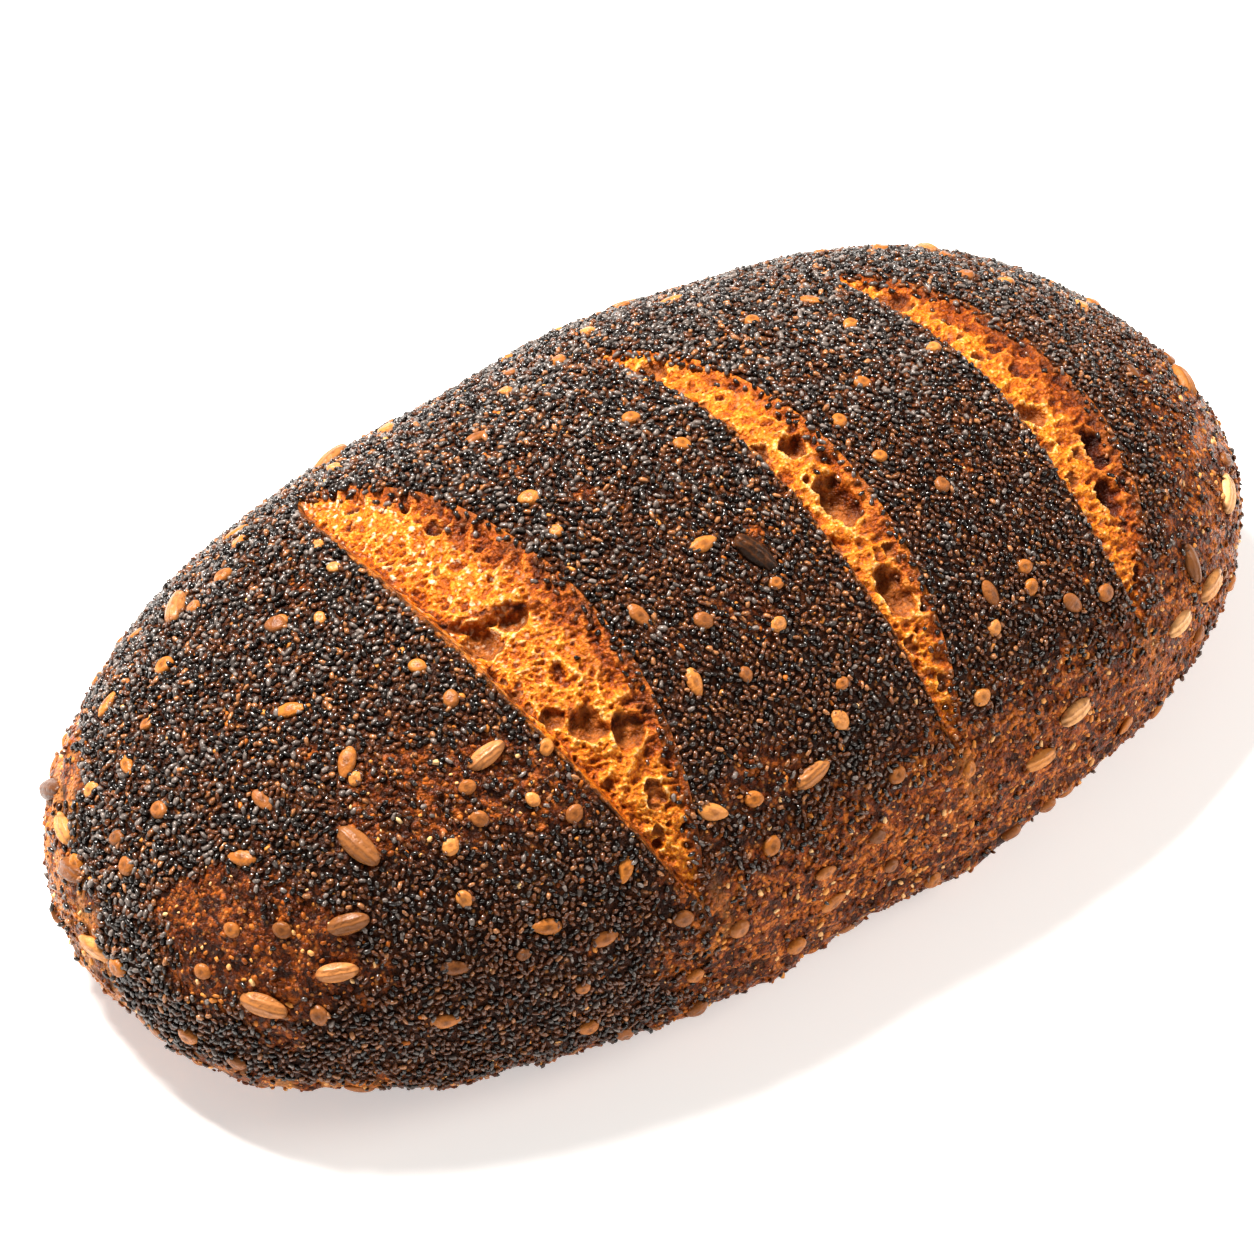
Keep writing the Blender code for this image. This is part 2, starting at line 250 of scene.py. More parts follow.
SUNFLOWER = Kind(0.0092, 0.0044, 0.0030, 0.16)
OAT = Kind(0.0090, 0.0042, 0.0032, 0.10)
LINSEED = Kind(0.0058, 0.0032, 0.0017, 0.35)
ROUND = Kind(0.0042, 0.0035, 0.0026, 0.10)
POPPY = Kind(0.00168, 0.00110, 0.00102, 0.15)
GRAIN = Kind(0.00100, 0.00075, 0.00060, 0.10)

# How deep the large seeds are set, the share of their length that small seeds keep off, their lean and
# sizes, and how they are spread
SEED_SUNK = 0.42
SEED_CLEAR = 0.34
SEED_LEAN = 0.10
SEED_SIZES = (0.85, 1.15)
SCATTER_ROUND = 104
SCATTER_FLAT = 26
SEED_GAP = 0.0085
CUT_CLEAR = 0.0030
FOOT_CLEAR = 0.0085
SEED_DRAW = 41

# The largest seeds, each given one by one: its kind, x and y in mm, and turn in degrees
PLACED = (
    (SUNFLOWER, -97, -33, -88),
    (SUNFLOWER, -105, -40, -8),
    (SUNFLOWER, -110, -43, -22),
    (SUNFLOWER, -70, -36, 6),
    (SUNFLOWER, -122, -36, -70),
    (SUNFLOWER, -15, -65, 25),
    (SUNFLOWER, -4, -33, -66),
    (SUNFLOWER, 90, -58, -71),
    (SUNFLOWER, -123, 34, -60),
    (SUNFLOWER, -40, 56, 20),
    (SUNFLOWER, 38, 60, -35),
    (SUNFLOWER, 98, 34, 70),
    (SUNFLOWER, -88, 40, 50),
    (OAT, 47, -71, 13),
    (OAT, 36, -73, 4),
    (OAT, 82, -64, 21),
    (OAT, 95, -59, 25),
    (OAT, 111, -46, 68),
    (OAT, 123, -20, 80),
    (OAT, 118, 38, -50),
    (OAT, -128, 22, 70),
    (OAT, -60, 68, 5),
    (OAT, 12, 72, -12),
    (LINSEED, -92, -55, -47),
    (LINSEED, -96, -57, -21),
    (LINSEED, -65, -65, -10),
    (LINSEED, -105, -14, -91),
    (LINSEED, 106, -21, -97),
    (LINSEED, -27, 24, -6),
    (LINSEED, 54, -61, -71),
    (LINSEED, -29, -46, -99),
    (LINSEED, -31, -32, -80),
    (LINSEED, -12, -27, -3),
    (LINSEED, -109, 34, 1),
    (LINSEED, -116, 16, -112),
)

# Smaller pale seeds that lie singly on the side that the camera sees: x and y in mm
SMALL_PALE = (
    (-33, -9), (-109, 19), (-81, 14), (-76, 8), (-91, -24), (-76, -38), (-67, -46), (-77, -43), (-60, -41),
    (-4, 5), (-1, -7), (32, -27), (37, 18), (15, 43), (-4, -39), (-19, -49), (-8, -45), (-2, -57),
    (-67, 16), (-65, 24), (-87, 35), (-70, -15), (-122, 20), (-125, 7), (-121, -25), (-86, -50), (-80, -60),
    (-71, -66), (46, -57), (34, -60), (18, -72), (-5, -73),
)
SMALL_PALE_SIZES = (0.70, 1.00)
SMALL_PALE_DRAW = 42

# The tints of some large seeds, from burnt to pale: x and y in mm, and the tint from 0 to 1
SEED_TINTS = (
    (-4, -33, 0.0), (106, -21, 0.05), (-123, 34, 0.12), (-128, 22, 0.62), (-130, 14, 0.50),
    (-134, 2, 0.58), (-97, -33, 0.35), (-105, -40, 0.28), (-110, -43, 0.75), (-122, -36, 0.60),
    (-70, -36, 0.85), (-105, -14, 0.15), (82, -64, 0.95), (95, -59, 0.7), (111, -46, 1.0),
    (47, -71, 0.8), (36, -73, 0.5), (-15, -65, 0.55),
)

# Dark, middle and pale browns of kernels and oats, and how many lines run along one
KERNEL_COLOURS = ((0.120, 0.040, 0.013), (0.380, 0.140, 0.036), (0.560, 0.225, 0.072), 24.0)
OAT_COLOURS = ((0.270, 0.082, 0.014), (0.560, 0.210, 0.042), (0.840, 0.450, 0.185), 20.0)

# The other large seeds' tints, and how much darker and browner those low in front are made, as painted
# shade
TINTS = (0.10, 0.90)
TINT_DRAW = 45
LOW_IN_FRONT = 0.047
DARKER_LOW_AS_SHADE = 0.55

# Seeds that stick out round the left end: kind, x, y and z in mm, and turn in degrees
END_SEEDS = (
    (OAT, -130, 14, 35, -60),
    (OAT, -134, 2, 26, 75),
    (LINSEED, -132, -15, 15, 60),
    (LINSEED, -116, 41, 33, 20),
)

# Poppy seeds: tries, least spacing, sizes, lean, how far they stand off the skin, and where they keep off
POPPY_TRIES = 520000
POPPY_GAP = 0.00102
POPPY_SIZES = (0.80, 1.20)
POPPY_LEAN = 0.55
POPPY_LIFT = (0.00000, 0.00050)
POPPY_FOOT = 0.0035
POPPY_LIP_CLEAR = 0.0003
POPPY_DRAW = 43

# Those strayed onto each cut's toasted side: how many are tried, their least spacing, how far in from the
# right lip they stay as many and then thin out, and the small chance of one further inside
FRINGE_SEEDS = 300
FRINGE_GAP = 0.00100
FRINGE_FULL = 0.0008
FRINGE_FADE = 0.0010
FRINGE_INSIDE = 0.0003

# Their colours: the name, the share of seeds, and the dark and the pale end of its tints
POPPY_KINDS = (
    ("black", 0.27, (0.004, 0.0026, 0.002), (0.015, 0.010, 0.0085)),
    ("ink", 0.21, (0.011, 0.008, 0.007), (0.042, 0.032, 0.027)),
    ("slate", 0.235, (0.055, 0.044, 0.039), (0.200, 0.160, 0.140)),
    ("brown", 0.21, (0.034, 0.011, 0.004), (0.130, 0.042, 0.015)),
    ("tan", 0.075, (0.120, 0.040, 0.012), (0.400, 0.165, 0.062)),
)

# Their sizes on the back and the front, and about how many of the dark ones in front are brown instead
POPPY_AT_BACK = 1.22
POPPY_AT_FRONT = 1.03
BROWNER_IN_FRONT = 0.44
BROWN_KIND = 3

# Grains of bran in the bare crust: tries and least spacing, sizes, lean, and how deep they are set
GRAIN_TRIES = 120000
GRAIN_GAP = 0.00108
GRAIN_SIZES = (0.55, 2.00)
GRAIN_LEAN = 0.4
GRAIN_SINK = 0.00004
GRAIN_DRAW = 44

# Bare places: the middle's x, y and z in mm, the radius in mm, and how bare
BARE_SPOTS = (
    (-126, -19, 44, 11, 1.0),
    (-119, -28, 42, 12, 1.0),
    (-112, -38, 42, 11, 1.0),
    (-120, -38, 33, 8, 0.7),
    (-88, -33, 62, 12, 0.48),
    (-76, -38, 64, 12, 0.52),
    (-66, -45, 62, 9, 0.5),
    (-25, -62, 52, 9, 0.45),
    (-12, -40, 72, 7, 0.30),
)

# The height in mm that the bare band in front and at the right end reaches
BARE_TO = 46

# The thin scores that run on past each cut: half width in mm, how golden, and x and y in mm
SCORE_TAILS = (
    (1.3, 1.0, ((8, 32), (6, 40), (2, 47))),
    (1.3, 1.0, ((66, 27), (58, 27), (50, 26))),
    (1.3, 1.0, ((-56, 43), (-58, 46))),
    (2.2, 0.45, ((-45, -67), (-42, -73))),
    (2.0, 0.35, ((17, -71), (20, -75))),
    (2.2, 0.45, ((71, -65), (75, -71))),
)

# The camera: its direction from the loaf, its distance, and how far it is moved aside
CAMERA_AZIMUTH = math.radians(-38.1)
CAMERA_ELEVATION = math.radians(43.7)
CAMERA_DISTANCE = 0.895
CAMERA_RIGHT = -0.007
CAMERA_UP = -0.006
CAMERA_AIM = Vector((0, 0, 0.04))
CAMERA_LENS = 128.6
CAMERA_SENSOR = 36.0

# The studio: where the lights aim, and how far the floor reaches each way
LIGHT_AIM = Vector((0, 0, 0.03))
FLOOR_REACH = 6.0


def waves(points, wavelength, draw, count=12):
    """Smooth random relief of about unit height: the sum of plane sine waves in random directions.

    The draw is the random seed, and each use of the relief has its own.
    """
    rng = np.random.default_rng(draw)
    ways = rng.normal(size=(count, 3))
    ways /= np.linalg.norm(ways, axis=1, keepdims=True)
    paces = 2 * math.pi / (wavelength * rng.uniform(0.7, 1.4, count))
    shifts = rng.uniform(0, 2 * math.pi, count)
    return np.sin(points @ (ways * paces[:, None]).T + shifts).sum(axis=1) / math.sqrt(count)


def smooth_step(low, high, value):
    """0 below low, 1 above high, and 3 s^2 - 2 s^3 between them, where s is the share of the way."""
    share = np.clip((value - low) / (high - low), 0, 1)
    return share * share * (3 - 2 * share)


def bump_at(value, middle, reach):
    """A bell curve exp(-((v - m) / r)^2) of a value v: 1 at the middle m, falling off over the reach r."""
    return np.exp(-(((value - middle) / reach) ** 2))


def sizes_about_belly(z):
    """For heights above or below the belly: the fullness there and the half height on that side."""
    above = z > 0
    fullness = np.where(above, CROWN_FULLNESS, FOOT_FULLNESS)
    rise = np.where(above, CROWN_HEIGHT - BELLY_HEIGHT, BELLY_HEIGHT + FOOT_CUT)
    return fullness, rise


def fullness_sum(points):
    """The loaf's superellipsoid sum: 1 on the smooth dough, less inside it.

    It is p^(2/f) + |z/h|^(2/f). Here p is how far out the place is in plan, (|x/a|^k + |y/b|^k)^(1/k),
    with half the length a, half the width b, which grows to the right, and the plan's power k. z is
    measured from the belly, and the fullness f and the half height h differ above and below it.
    """
    x = points[:, 0] / (LENGTH / 2)
    y = points[:, 1] / (WIDTH / 2 * (1 + RIGHT_END_WIDER * x))
    z = points[:, 2] - BELLY_HEIGHT
    fullness, rise = sizes_about_belly(z)
    plan = (np.abs(x) ** PLAN_POWER + np.abs(y) ** PLAN_POWER) ** (1 / PLAN_POWER)
    return plan ** (2 / fullness) + np.abs(z / rise) ** (2 / fullness)


def outward(points):
    """Unit normals of the smooth dough: the slope of its superellipsoid sum."""
    step = 1e-5
    slopes = [
        fullness_sum(points + step * axis) - fullness_sum(points - step * axis)
        for axis in np.eye(3)
    ]
    normals = np.stack(slopes, axis=1)
    return normals / np.linalg.norm(normals, axis=1, keepdims=True)


def smooth_dough(ways):
    """Where rays from the middle of the belly, in these directions, leave the smooth dough.

    A ray whose superellipsoid sum is t reaches it at t^(-f/2) of its length, where f is the fullness. The
    right end is widened afterwards.
    """
    x = ways[:, 0] / (LENGTH / 2)
    y = ways[:, 1] / (WIDTH / 2)
    fullness, rise = sizes_about_belly(ways[:, 2])
    plan = (np.abs(x) ** PLAN_POWER + np.abs(y) ** PLAN_POWER) ** (1 / PLAN_POWER)
    total = plan ** (2 / fullness) + np.abs(ways[:, 2] / rise) ** (2 / fullness)
    points = ways * total[:, None] ** (-fullness / 2)[:, None]
    points[:, 1] *= 1 + RIGHT_END_WIDER * points[:, 0] / (LENGTH / 2)
    points[:, 2] += BELLY_HEIGHT
    return points


def unevenness(points):
    """How far the baked dough stands out from the smooth dough: long swells, and lumps near the foot."""
    swell = SWELL * waves(points, SWELL_WAVE, SWELL_DRAW)
    low = 1 - smooth_step(0, FOOT_LUMP_TOP, points[:, 2])
    return swell + FOOT_LUMP * low * waves(points, FOOT_LUMP_WAVE, FOOT_LUMP_DRAW)


def crown_over(x, y):
    """The smooth dough above these places in plan: its height over the belly is h (1 - p^(2/f))^(f/2).

    Here p is how far out a place is in plan, f is the crown's fullness and h its height.
    """
    across = y / (WIDTH / 2 * (1 + RIGHT_END_WIDER * x / (LENGTH / 2)))
    along = x / (LENGTH / 2)
    plan = (np.abs(along) ** PLAN_POWER + np.abs(across) ** PLAN_POWER) ** (1 / PLAN_POWER)
    rise = np.clip(1 - plan ** (2 / CROWN_FULLNESS), 0, 1) ** (CROWN_FULLNESS / 2)
    return np.stack([x, y, BELLY_HEIGHT + (CROWN_HEIGHT - BELLY_HEIGHT) * rise], axis=1)


def half_width(cut, along):
    """Half a cut's width at a share of its length: w/2 (1 - r^2)^b, closing at both ends.

    r runs from 0 where the cut is widest to 1 at an end, and b is the bluntness of that end.
    """
    back = (cut.widest_at - along) / cut.widest_at
    front = (along - cut.widest_at) / (1 - cut.widest_at)
    reach = np.where(along < cut.widest_at, back, front)
    bluntness = np.where(along < cut.widest_at, BACK_BLUNTNESS, FRONT_BLUNTNESS)
    return cut.width / 2 * np.clip(1 - reach**2, 0, 1) ** bluntness


def middle_of(cut, along):
    """The cut's middle line in plan: straight from end to end, and bowed to the right by 4 b s (1 - s)."""
    x = cut.back_end[0] + (cut.front_end[0] - cut.back_end[0]) * along
    y = cut.back_end[1] + (cut.front_end[1] - cut.back_end[1]) * along
    return x + cut.bow * 4 * along * (1 - along), y


def floor_depth(cut, along, across, half):
    """How deep the torn crumb lies: a steep S curve down the left wall, then a rise to the right edge.

    The rise is a power of the share of the way to the right edge. The floor is shallower where the cut is
    narrower, by a power of its width there, and each hollow adds its own bowl.
    """
    wall = smooth_step(-1, -1 + LEFT_WALL, across)
    ease = np.clip((1 - across) / (2 - LEFT_WALL), 0, 1) ** FLOOR_EASE
    depth = cut.depth * wall * ease * (half / (cut.width / 2)) ** TIP_FADE
    for number, hollow in enumerate(cut.hollows):
        depth = depth + hollow[4] * hollow_bells(cut, along, across, half)[number]
    return depth


def hollow_bells(cut, along, across, half):
    """For each hollow of a cut, a bowl (1 - d^2 / 1.5)^0.7 about its middle: 1 there and 0 outside.

    Here d is the distance from its middle along and across the cut, each over the hollow's own radius.
    """
    length = abs(cut.front_end[1] - cut.back_end[1])
    bells = []
    for at, side, reach, breadth, _ in cut.hollows:
        away = ((along - at) * length / reach) ** 2 + ((across - side) * half / breadth) ** 2
        bells.append(np.clip(1 - away / 1.5, 0, 1) ** 0.7)
    return bells


def hollow_share(cut, along, across, half):
    """How far inside any hollow of a cut a place lies, from 0 to 1."""
    return np.max(hollow_bells(cut, along, across, half), axis=0)


def bubble_bowls(cut, along, across, half, ragged):
    """The larger torn bubbles: how deep each place lies in one, and how near it is to a bubble's rim.

    A bubble is a bowl of depth r (1 - d^2)^0.6, where d^2 is the squared distance from its middle over its
    squared radius, with the ragged share added, and r is the depth at its middle.
    """
    length = abs(cut.front_end[1] - cut.back_end[1])
    deepest, rim = np.zeros_like(along), np.zeros_like(along)
    for at, side, radius in cut.bubbles:
        away = (((along - at) * length) ** 2 + ((across - side) * half) ** 2) / radius**2 + ragged
        deepest = np.maximum(deepest, BUBBLE_DEPTH * radius * np.clip(1 - away, 0, 1) ** 0.6)
        rim = np.maximum(rim, bump_at(away, 1.25, 0.35))
    return deepest, rim


def cut_places(cut, x, y):
    """Places in plan, by a cut: shares along it, how far right of its middle line, and its half width."""
    along = (y - cut.back_end[1]) / (cut.front_end[1] - cut.back_end[1])
    inside = np.clip(along, 0, 1)
    centre, _ = middle_of(cut, inside)
    return along, x - centre, half_width(cut, inside)


def nearest_cut_gap(x, y):
    """How far a place in plan lies outside the nearest cut, less than 0 inside one."""
    gaps = []
    for cut in CUTS:
        _, sideways, half = cut_places(cut, x, y)
        past_end = np.maximum(y - cut.back_end[1], cut.front_end[1] - y)
        gaps.append(np.maximum(np.abs(sideways) - half, past_end))
    return np.min(gaps, axis=0)


def trench(points):
    """How far the crust sinks below the crumb in the cuts, so that only the crumb shows there.

    It sinks along a straight slope from the cut's edge, down to a margin below the crumb's floor.
    """
    sunk = np.zeros(len(points))
    x, y, z = points.T
    for cut in CUTS:
        along, sideways, half = cut_places(cut, x, y)
        from_ends = np.minimum(y - cut.front_end[1], cut.back_end[1] - y)
        edge = np.minimum(half - np.abs(sideways), 0.5 * from_ends)
        across = np.clip(sideways / np.maximum(half, 1e-4), -1, 1)
        floor = floor_depth(cut, along, across, half) + TRENCH_MARGIN
        if cut is CUTS[LEFT]:
            floor = floor + ledge_drop(points, along, across)
        inside = (edge > 0) & (z > BELLY_HEIGHT)
        sunk = np.where(inside, np.minimum(floor, TRENCH_SLOPE * edge), sunk)
    return sunk


def left_line(y):
    """Height in mm below which the left end is bare: it rises from front to back."""
    return 16 + 20 * smooth_step(-14, 8, y) + 8 * smooth_step(8, 28, y)


def bareness(points):
    """How bare of poppy seeds the crust is, from 0 to 1, with ragged edges."""
    x, y, z = points.T / MM
    ragged = 0.22 * waves(points, 0.013, 21) + 0.14 * waves(points, 0.005, 22)
    bare = np.zeros(len(points))
    for cx, cy, cz, radius, share in BARE_SPOTS:
        away = np.sqrt((x - cx) ** 2 + (y - cy) ** 2 + (z - cz) ** 2) / radius
        bare = np.maximum(bare, share * smooth_step(1.25, 0.55, away + ragged))
    rise = BARE_TO + 3.5 * np.sin(x / 14) + 7 * smooth_step(72, 88, x) + 14 * ragged
    under_rise = smooth_step(7, -12, z - rise)
    in_front = smooth_step(-36, -56, y + 0.4 * np.maximum(x - 60, 0))
    band = under_rise * smooth_step(-62, -40, x + 10 * ragged) * in_front
    right = under_rise * smooth_step(74, 92, x + 8 * ragged) * smooth_step(2, -24, y + 20 * ragged)
    low = smooth_step(15, 8, z + 6 * ragged)
    under_line = smooth_step(2, -3, z - left_line(y) + 8 * ragged)
    left_rim = under_line * smooth_step(-95, -112, x) * smooth_step(60, 46, y)
    for extra, share in ((band, 0.95), (right, 0.92), (low, 0.99), (left_rim, 0.93)):
        bare = np.maximum(bare, share * extra)
    spots = smooth_step(1.35, 2.1, waves(points, 0.010, 23)) * 0.55
    return np.clip(np.maximum(bare, spots), 0, 1)


def lightness(points):
    """How light a brown the bare crust is: tan round the front and the foot, dark red-brown elsewhere."""
    x, y, z = points.T / MM
    front = smooth_step(-60, -25, x) * smooth_step(58, 36, z) * smooth_step(-35, -60, y)
    right = smooth_step(74, 100, x) * smooth_step(60, 38, z)
    foot = smooth_step(24, 8, z)
    rim = smooth_step(-95, -112, x) * smooth_step(2, -4, z - left_line(y))
    return np.clip(np.max([front, right, foot, rim], axis=0) + 0.12 * waves(points, 0.02, 24), 0, 1)


def loft_faces(rings, sides):
    """Triangles of a closed loft: a first pole, rings of points, and a last pole."""
    side = np.arange(sides)
    after = (side + 1) % sides
    low = 1 + sides * np.arange(rings - 1)[:, None]
    here, beside = low + side, low + after
    last = 1 + rings * sides
    return np.concatenate(
        [
            np.stack([np.zeros(sides, int), 1 + after, 1 + side], axis=1),
            np.stack([here, beside, beside + sides], axis=-1).reshape(-1, 3),
            np.stack([here, beside + sides, here + sides], axis=-1).reshape(-1, 3),
            np.stack([np.full(sides, last), last - sides + side, last - sides + after], axis=1),
        ]
    )


def mesh_piece(name, points, faces, material, slot, smooth=True, **attributes):
    """An object at the origin from arrays of points and triangles, with named numbers at each point."""
    mesh = bpy.data.meshes.new(name)
    mesh.vertices.add(len(points))
    mesh.vertices.foreach_set("co", np.ascontiguousarray(points, dtype=np.float32).ravel())
    mesh.loops.add(faces.size)
    mesh.loops.foreach_set("vertex_index", faces.astype(np.int32).ravel())
    mesh.polygons.add(len(faces))
    mesh.polygons.foreach_set("loop_start", np.arange(0, faces.size, 3, dtype=np.int32))
    mesh.update(calc_edges=True)
    if smooth:
        mesh.shade_smooth()
    for label, values in attributes.items():
        field = mesh.attributes.new(label, "FLOAT", "POINT")
        field.data.foreach_set("value", np.ascontiguousarray(values, dtype=np.float32).ravel())
    mesh.materials.append(material)
    piece = bpy.data.objects.new(name, mesh)
    bpy.context.scene.collection.objects.link(piece)
    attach(piece, "root")
    return piece


def foot_crease(points):
    """The broken crease above the foot in front, from 0 to 1: a bell curve about a wavy height."""
    x, y, z = points.T / MM
    line = 15 + 2.5 * waves(points, 0.030, 25)
    reach = smooth_step(-75, -40, x) * smooth_step(108, 90, x) * smooth_step(-30, -50, y)
    return reach * bump_at(z, line, 1.6) * np.clip(0.55 + 0.6 * waves(points, 0.014, 26), 0, 1)


def foot_folds(points):
    """Flaky folds round the foot: ridges 0.6 - |w|, where w waves slowly along and quickly upwards."""
    stretched = points * (0.30, 0.30, 1.0)
    low = smooth_step(0.030, 0.010, points[:, 2])
    return FOLD * low * (0.6 - np.abs(waves(stretched, FOLD_WAVE, FOLD_DRAW)))


def skin_relief(points):
    """How far the baked skin stands out: its unevenness, blisters and folds, less the crease."""
    blisters = BLISTER * (0.5 + bareness(points)) * waves(points, BLISTER_WAVE, BLISTER_DRAW)
    return unevenness(points) + blisters + foot_folds(points) - CREASE_DEPTH * foot_crease(points)


def crust_points():
    """The crust in rings round the long axis: smooth dough, the baked skin over it, and its triangles.

    Each point of the smooth dough moves along its normal by the skin's relief less the trench. The foot
    stays flat.
    """
    along = np.linspace(0, math.pi, CRUST_STATIONS + 2)
    along = along + STATION_EVENING * np.sin(2 * along)
    top = np.linspace(-math.pi / 2 + FOOT_SPREAD, 1.5 * math.pi - FOOT_SPREAD, SIDE_STEPS)
    foot = np.linspace(1.5 * math.pi - FOOT_SPREAD, 1.5 * math.pi + FOOT_SPREAD, FOOT_STEPS + 2)[1:-1]
    around = np.concatenate([top, foot])
    a, b = (g.ravel() for g in np.meshgrid(along[1:-1], around, indexing="ij"))
    ways = np.stack([-np.cos(a), np.sin(a) * np.cos(b), np.sin(a) * np.sin(b)], axis=1)
    ways = np.concatenate([[[-1, 0, 0]], ways, [[1, 0, 0]]])
    smooth = smooth_dough(ways * (LENGTH / 2, WIDTH / 2, CROWN_HEIGHT / 2))
    points = smooth + outward(smooth) * (skin_relief(smooth) - trench(smooth))[:, None]
    flat = smooth[:, 2] <= 0
    points[flat] = smooth[flat]
    points[:, 2] = np.maximum(points[:, 2], 0)
    return smooth, points, loft_faces(CRUST_STATIONS, len(around))


def even_steps(cut, count):
    """Shares along a cut whose places on the crown are evenly far apart."""
    along = np.linspace(0, 1, 400)
    path = crown_over(*middle_of(cut, along))
    run = np.concatenate([[0], np.cumsum(np.linalg.norm(np.diff(path, axis=0), axis=1))])
    return np.interp(np.linspace(0, run[-1], count), run, along), run[-1]


def pits(a, b, spacing, radius, depth, share, draw):
    """Depth of torn pores, at distances a along and b across a cut.

    A share of the places of a shaken square grid hold a bowl each, of depth (1 - d^2)^0.7, where d is the
    distance from its middle over its radius. The deepest counts.
    """
    rng = np.random.default_rng(draw)
    size = 512
    shake_a, shake_b, bigness, there = rng.uniform(size=(4, size, size))
    column, row = np.floor(a / spacing).astype(int), np.floor(b / spacing).astype(int)
    deepest = np.zeros_like(a)
    for next_column in (-1, 0, 1):
        for next_row in (-1, 0, 1):
            i, j = (column + next_column) % size, (row + next_row) % size
            centre_a = (column + next_column + shake_a[i, j]) * spacing
            centre_b = (row + next_row + shake_b[i, j]) * spacing
            reach = radius * (0.35 + 0.65 * bigness[i, j] ** 1.5)
            away = ((a - centre_a) ** 2 + (b - centre_b) ** 2) / reach**2
            bite = depth * (reach / radius) * np.clip(1 - away, 0, 1) ** 0.7 * (there[i, j] < share)
            deepest = np.maximum(deepest, bite)
    return deepest


def past_ledge(points, along, across):
    """How far, as a share of the left cut's length, a place lies in front of its torn ledge.

    The ledge runs aslant across the cut, bends forward near the right lip, and waves in two wavelengths.
    """
    line = 0.465 + 0.075 * (across + 0.5) + 0.40 * np.maximum(across - 0.3, 0) ** 2
    return along - line - 0.010 * waves(points, 0.0080, 47) - 0.004 * waves(points, 0.0022, 48)


def ledge_drop(points, along, across):
    """How far the crumb of the left cut drops in front of its ledge: an S curve down, fading out forwards.

    The drop is full beside the left wall, nothing at the right lip, and waves between 0.3 and 1 of that.
    """
    past = past_ledge(points, along, across)
    inside = smooth_step(-0.80, -0.50, across) * smooth_step(1.0, 0.7, across)
    share = smooth_step(1.0, -0.6, across) * np.clip(0.9 + 0.25 * waves(points, 0.009, 49), 0.3, 1)
    fade = np.exp(-np.maximum(past, 0) / LEDGE_FADE)
    return LEDGE_DROP * share * smooth_step(0, 0.018, past) * fade * inside


def box_blur(grid, reach):
    """The mean over a square of grid points, row by row and then column by column."""
    for axis in (0, 1):
        padded = np.concatenate([grid.take([0] * reach, axis), grid, grid.take([-1] * reach, axis)], axis)
        sums = np.cumsum(np.concatenate([np.zeros_like(padded.take([0], axis)), padded], axis), axis)
        count = 2 * reach + 1
        upper = sums.take(range(count, sums.shape[axis]), axis)
        lower = sums.take(range(0, sums.shape[axis] - count), axis)
        grid = (upper - lower) / count
    return grid


class CrumbGrid(NamedTuple):
    """Points on the smooth crown over a cut, in rows along it and columns from its right lip to its left.

    For each point: its share along the cut and its place across, half the cut's width there, how far it
    lies inside the left lip, the right lip and the nearer one, its place and normal on the crown, and the
    shaken distances along and across that its pores go by. The run is the cut's length over the crown.
    """

    shape: tuple
    run: float
    along: np.ndarray
    across: np.ndarray
    half: np.ndarray
    from_left: np.ndarray
    from_right: np.ndarray
    edge: np.ndarray
    places: np.ndarray
    normals: np.ndarray
    pore_along: np.ndarray
    pore_across: np.ndarray


def crumb_grid(cut, number):
    """The grid over a cut, with rows evenly far apart on the crown."""
    _, run = even_steps(cut, 2)
    rows = int(run / CRUMB_STEP)
    columns = int(cut.width / CRUMB_STEP)
    shares, _ = even_steps(cut, rows)
    along, side = (g.ravel() for g in np.meshgrid(shares, np.linspace(1, -1, columns), indexing="ij"))
    half = half_width(cut, along)
    sideways = side * (half + LIP_OVERLAP)
    middle_x, y = middle_of(cut, along)
    places = crown_over(middle_x + sideways, y)
    from_left, from_right = sideways + half, half - sideways
    pore_along = np.interp(along, shares, np.linspace(0, run, rows))
    pore_along = pore_along + PORE_SHAKE * waves(places, 0.0060, 31 + number)
    pore_along = pore_along + PORE_SHAKE_FINE * waves(places, 0.0016, 33 + number)
    pore_across = sideways + PORE_SHAKE * waves(places, 0.0055, 35 + number)
    pore_across = pore_across + PORE_SHAKE_FINE * waves(places, 0.0016, 37 + number)
    return CrumbGrid(
        shape=(rows, columns),
        run=run,
        along=along,
        across=np.clip(sideways / np.maximum(half, 1e-4), -1, 1),
        half=half,
        from_left=from_left,
        from_right=from_right,
        edge=np.minimum(from_left, from_right),
        places=places,
        normals=outward(places),
        pore_along=pore_along,
        pore_across=pore_across,
    )


def torn_floor(cut, number, grid):
    """The floor's depth with its hollows, the bubbles' bowls and rims, and how far inside one a place is.

    Away from the lips the places are shaken first, so that the edges of hollows and bubbles come out torn.
    """
    inner = smooth_step(0.0010, 0.0030, grid.edge)
    shaken_along = grid.along + inner * HOLLOW_SHAKE / grid.run * waves(
        grid.places, HOLLOW_SHAKE_WAVE, 77 + number
    )
    shaken_across = grid.across + inner * HOLLOW_SHAKE / np.maximum(grid.half, 0.001) * waves(
        grid.places, HOLLOW_SHAKE_WAVE, 79 + number
    )
    depth = floor_depth(cut, shaken_along, shaken_across, grid.half)
    ragged = 0.20 * waves(grid.places, 0.0022, 75 + number)
    bowls, bowl_rim = bubble_bowls(cut, shaken_along, shaken_across, grid.half, ragged)
    hollow = smooth_step(0, 0.4, hollow_share(cut, shaken_along, shaken_across, grid.half))
    inside = np.maximum(hollow, np.clip(bowls / 0.0004, 0, 1))
    return depth, bowls, bowl_rim, inside


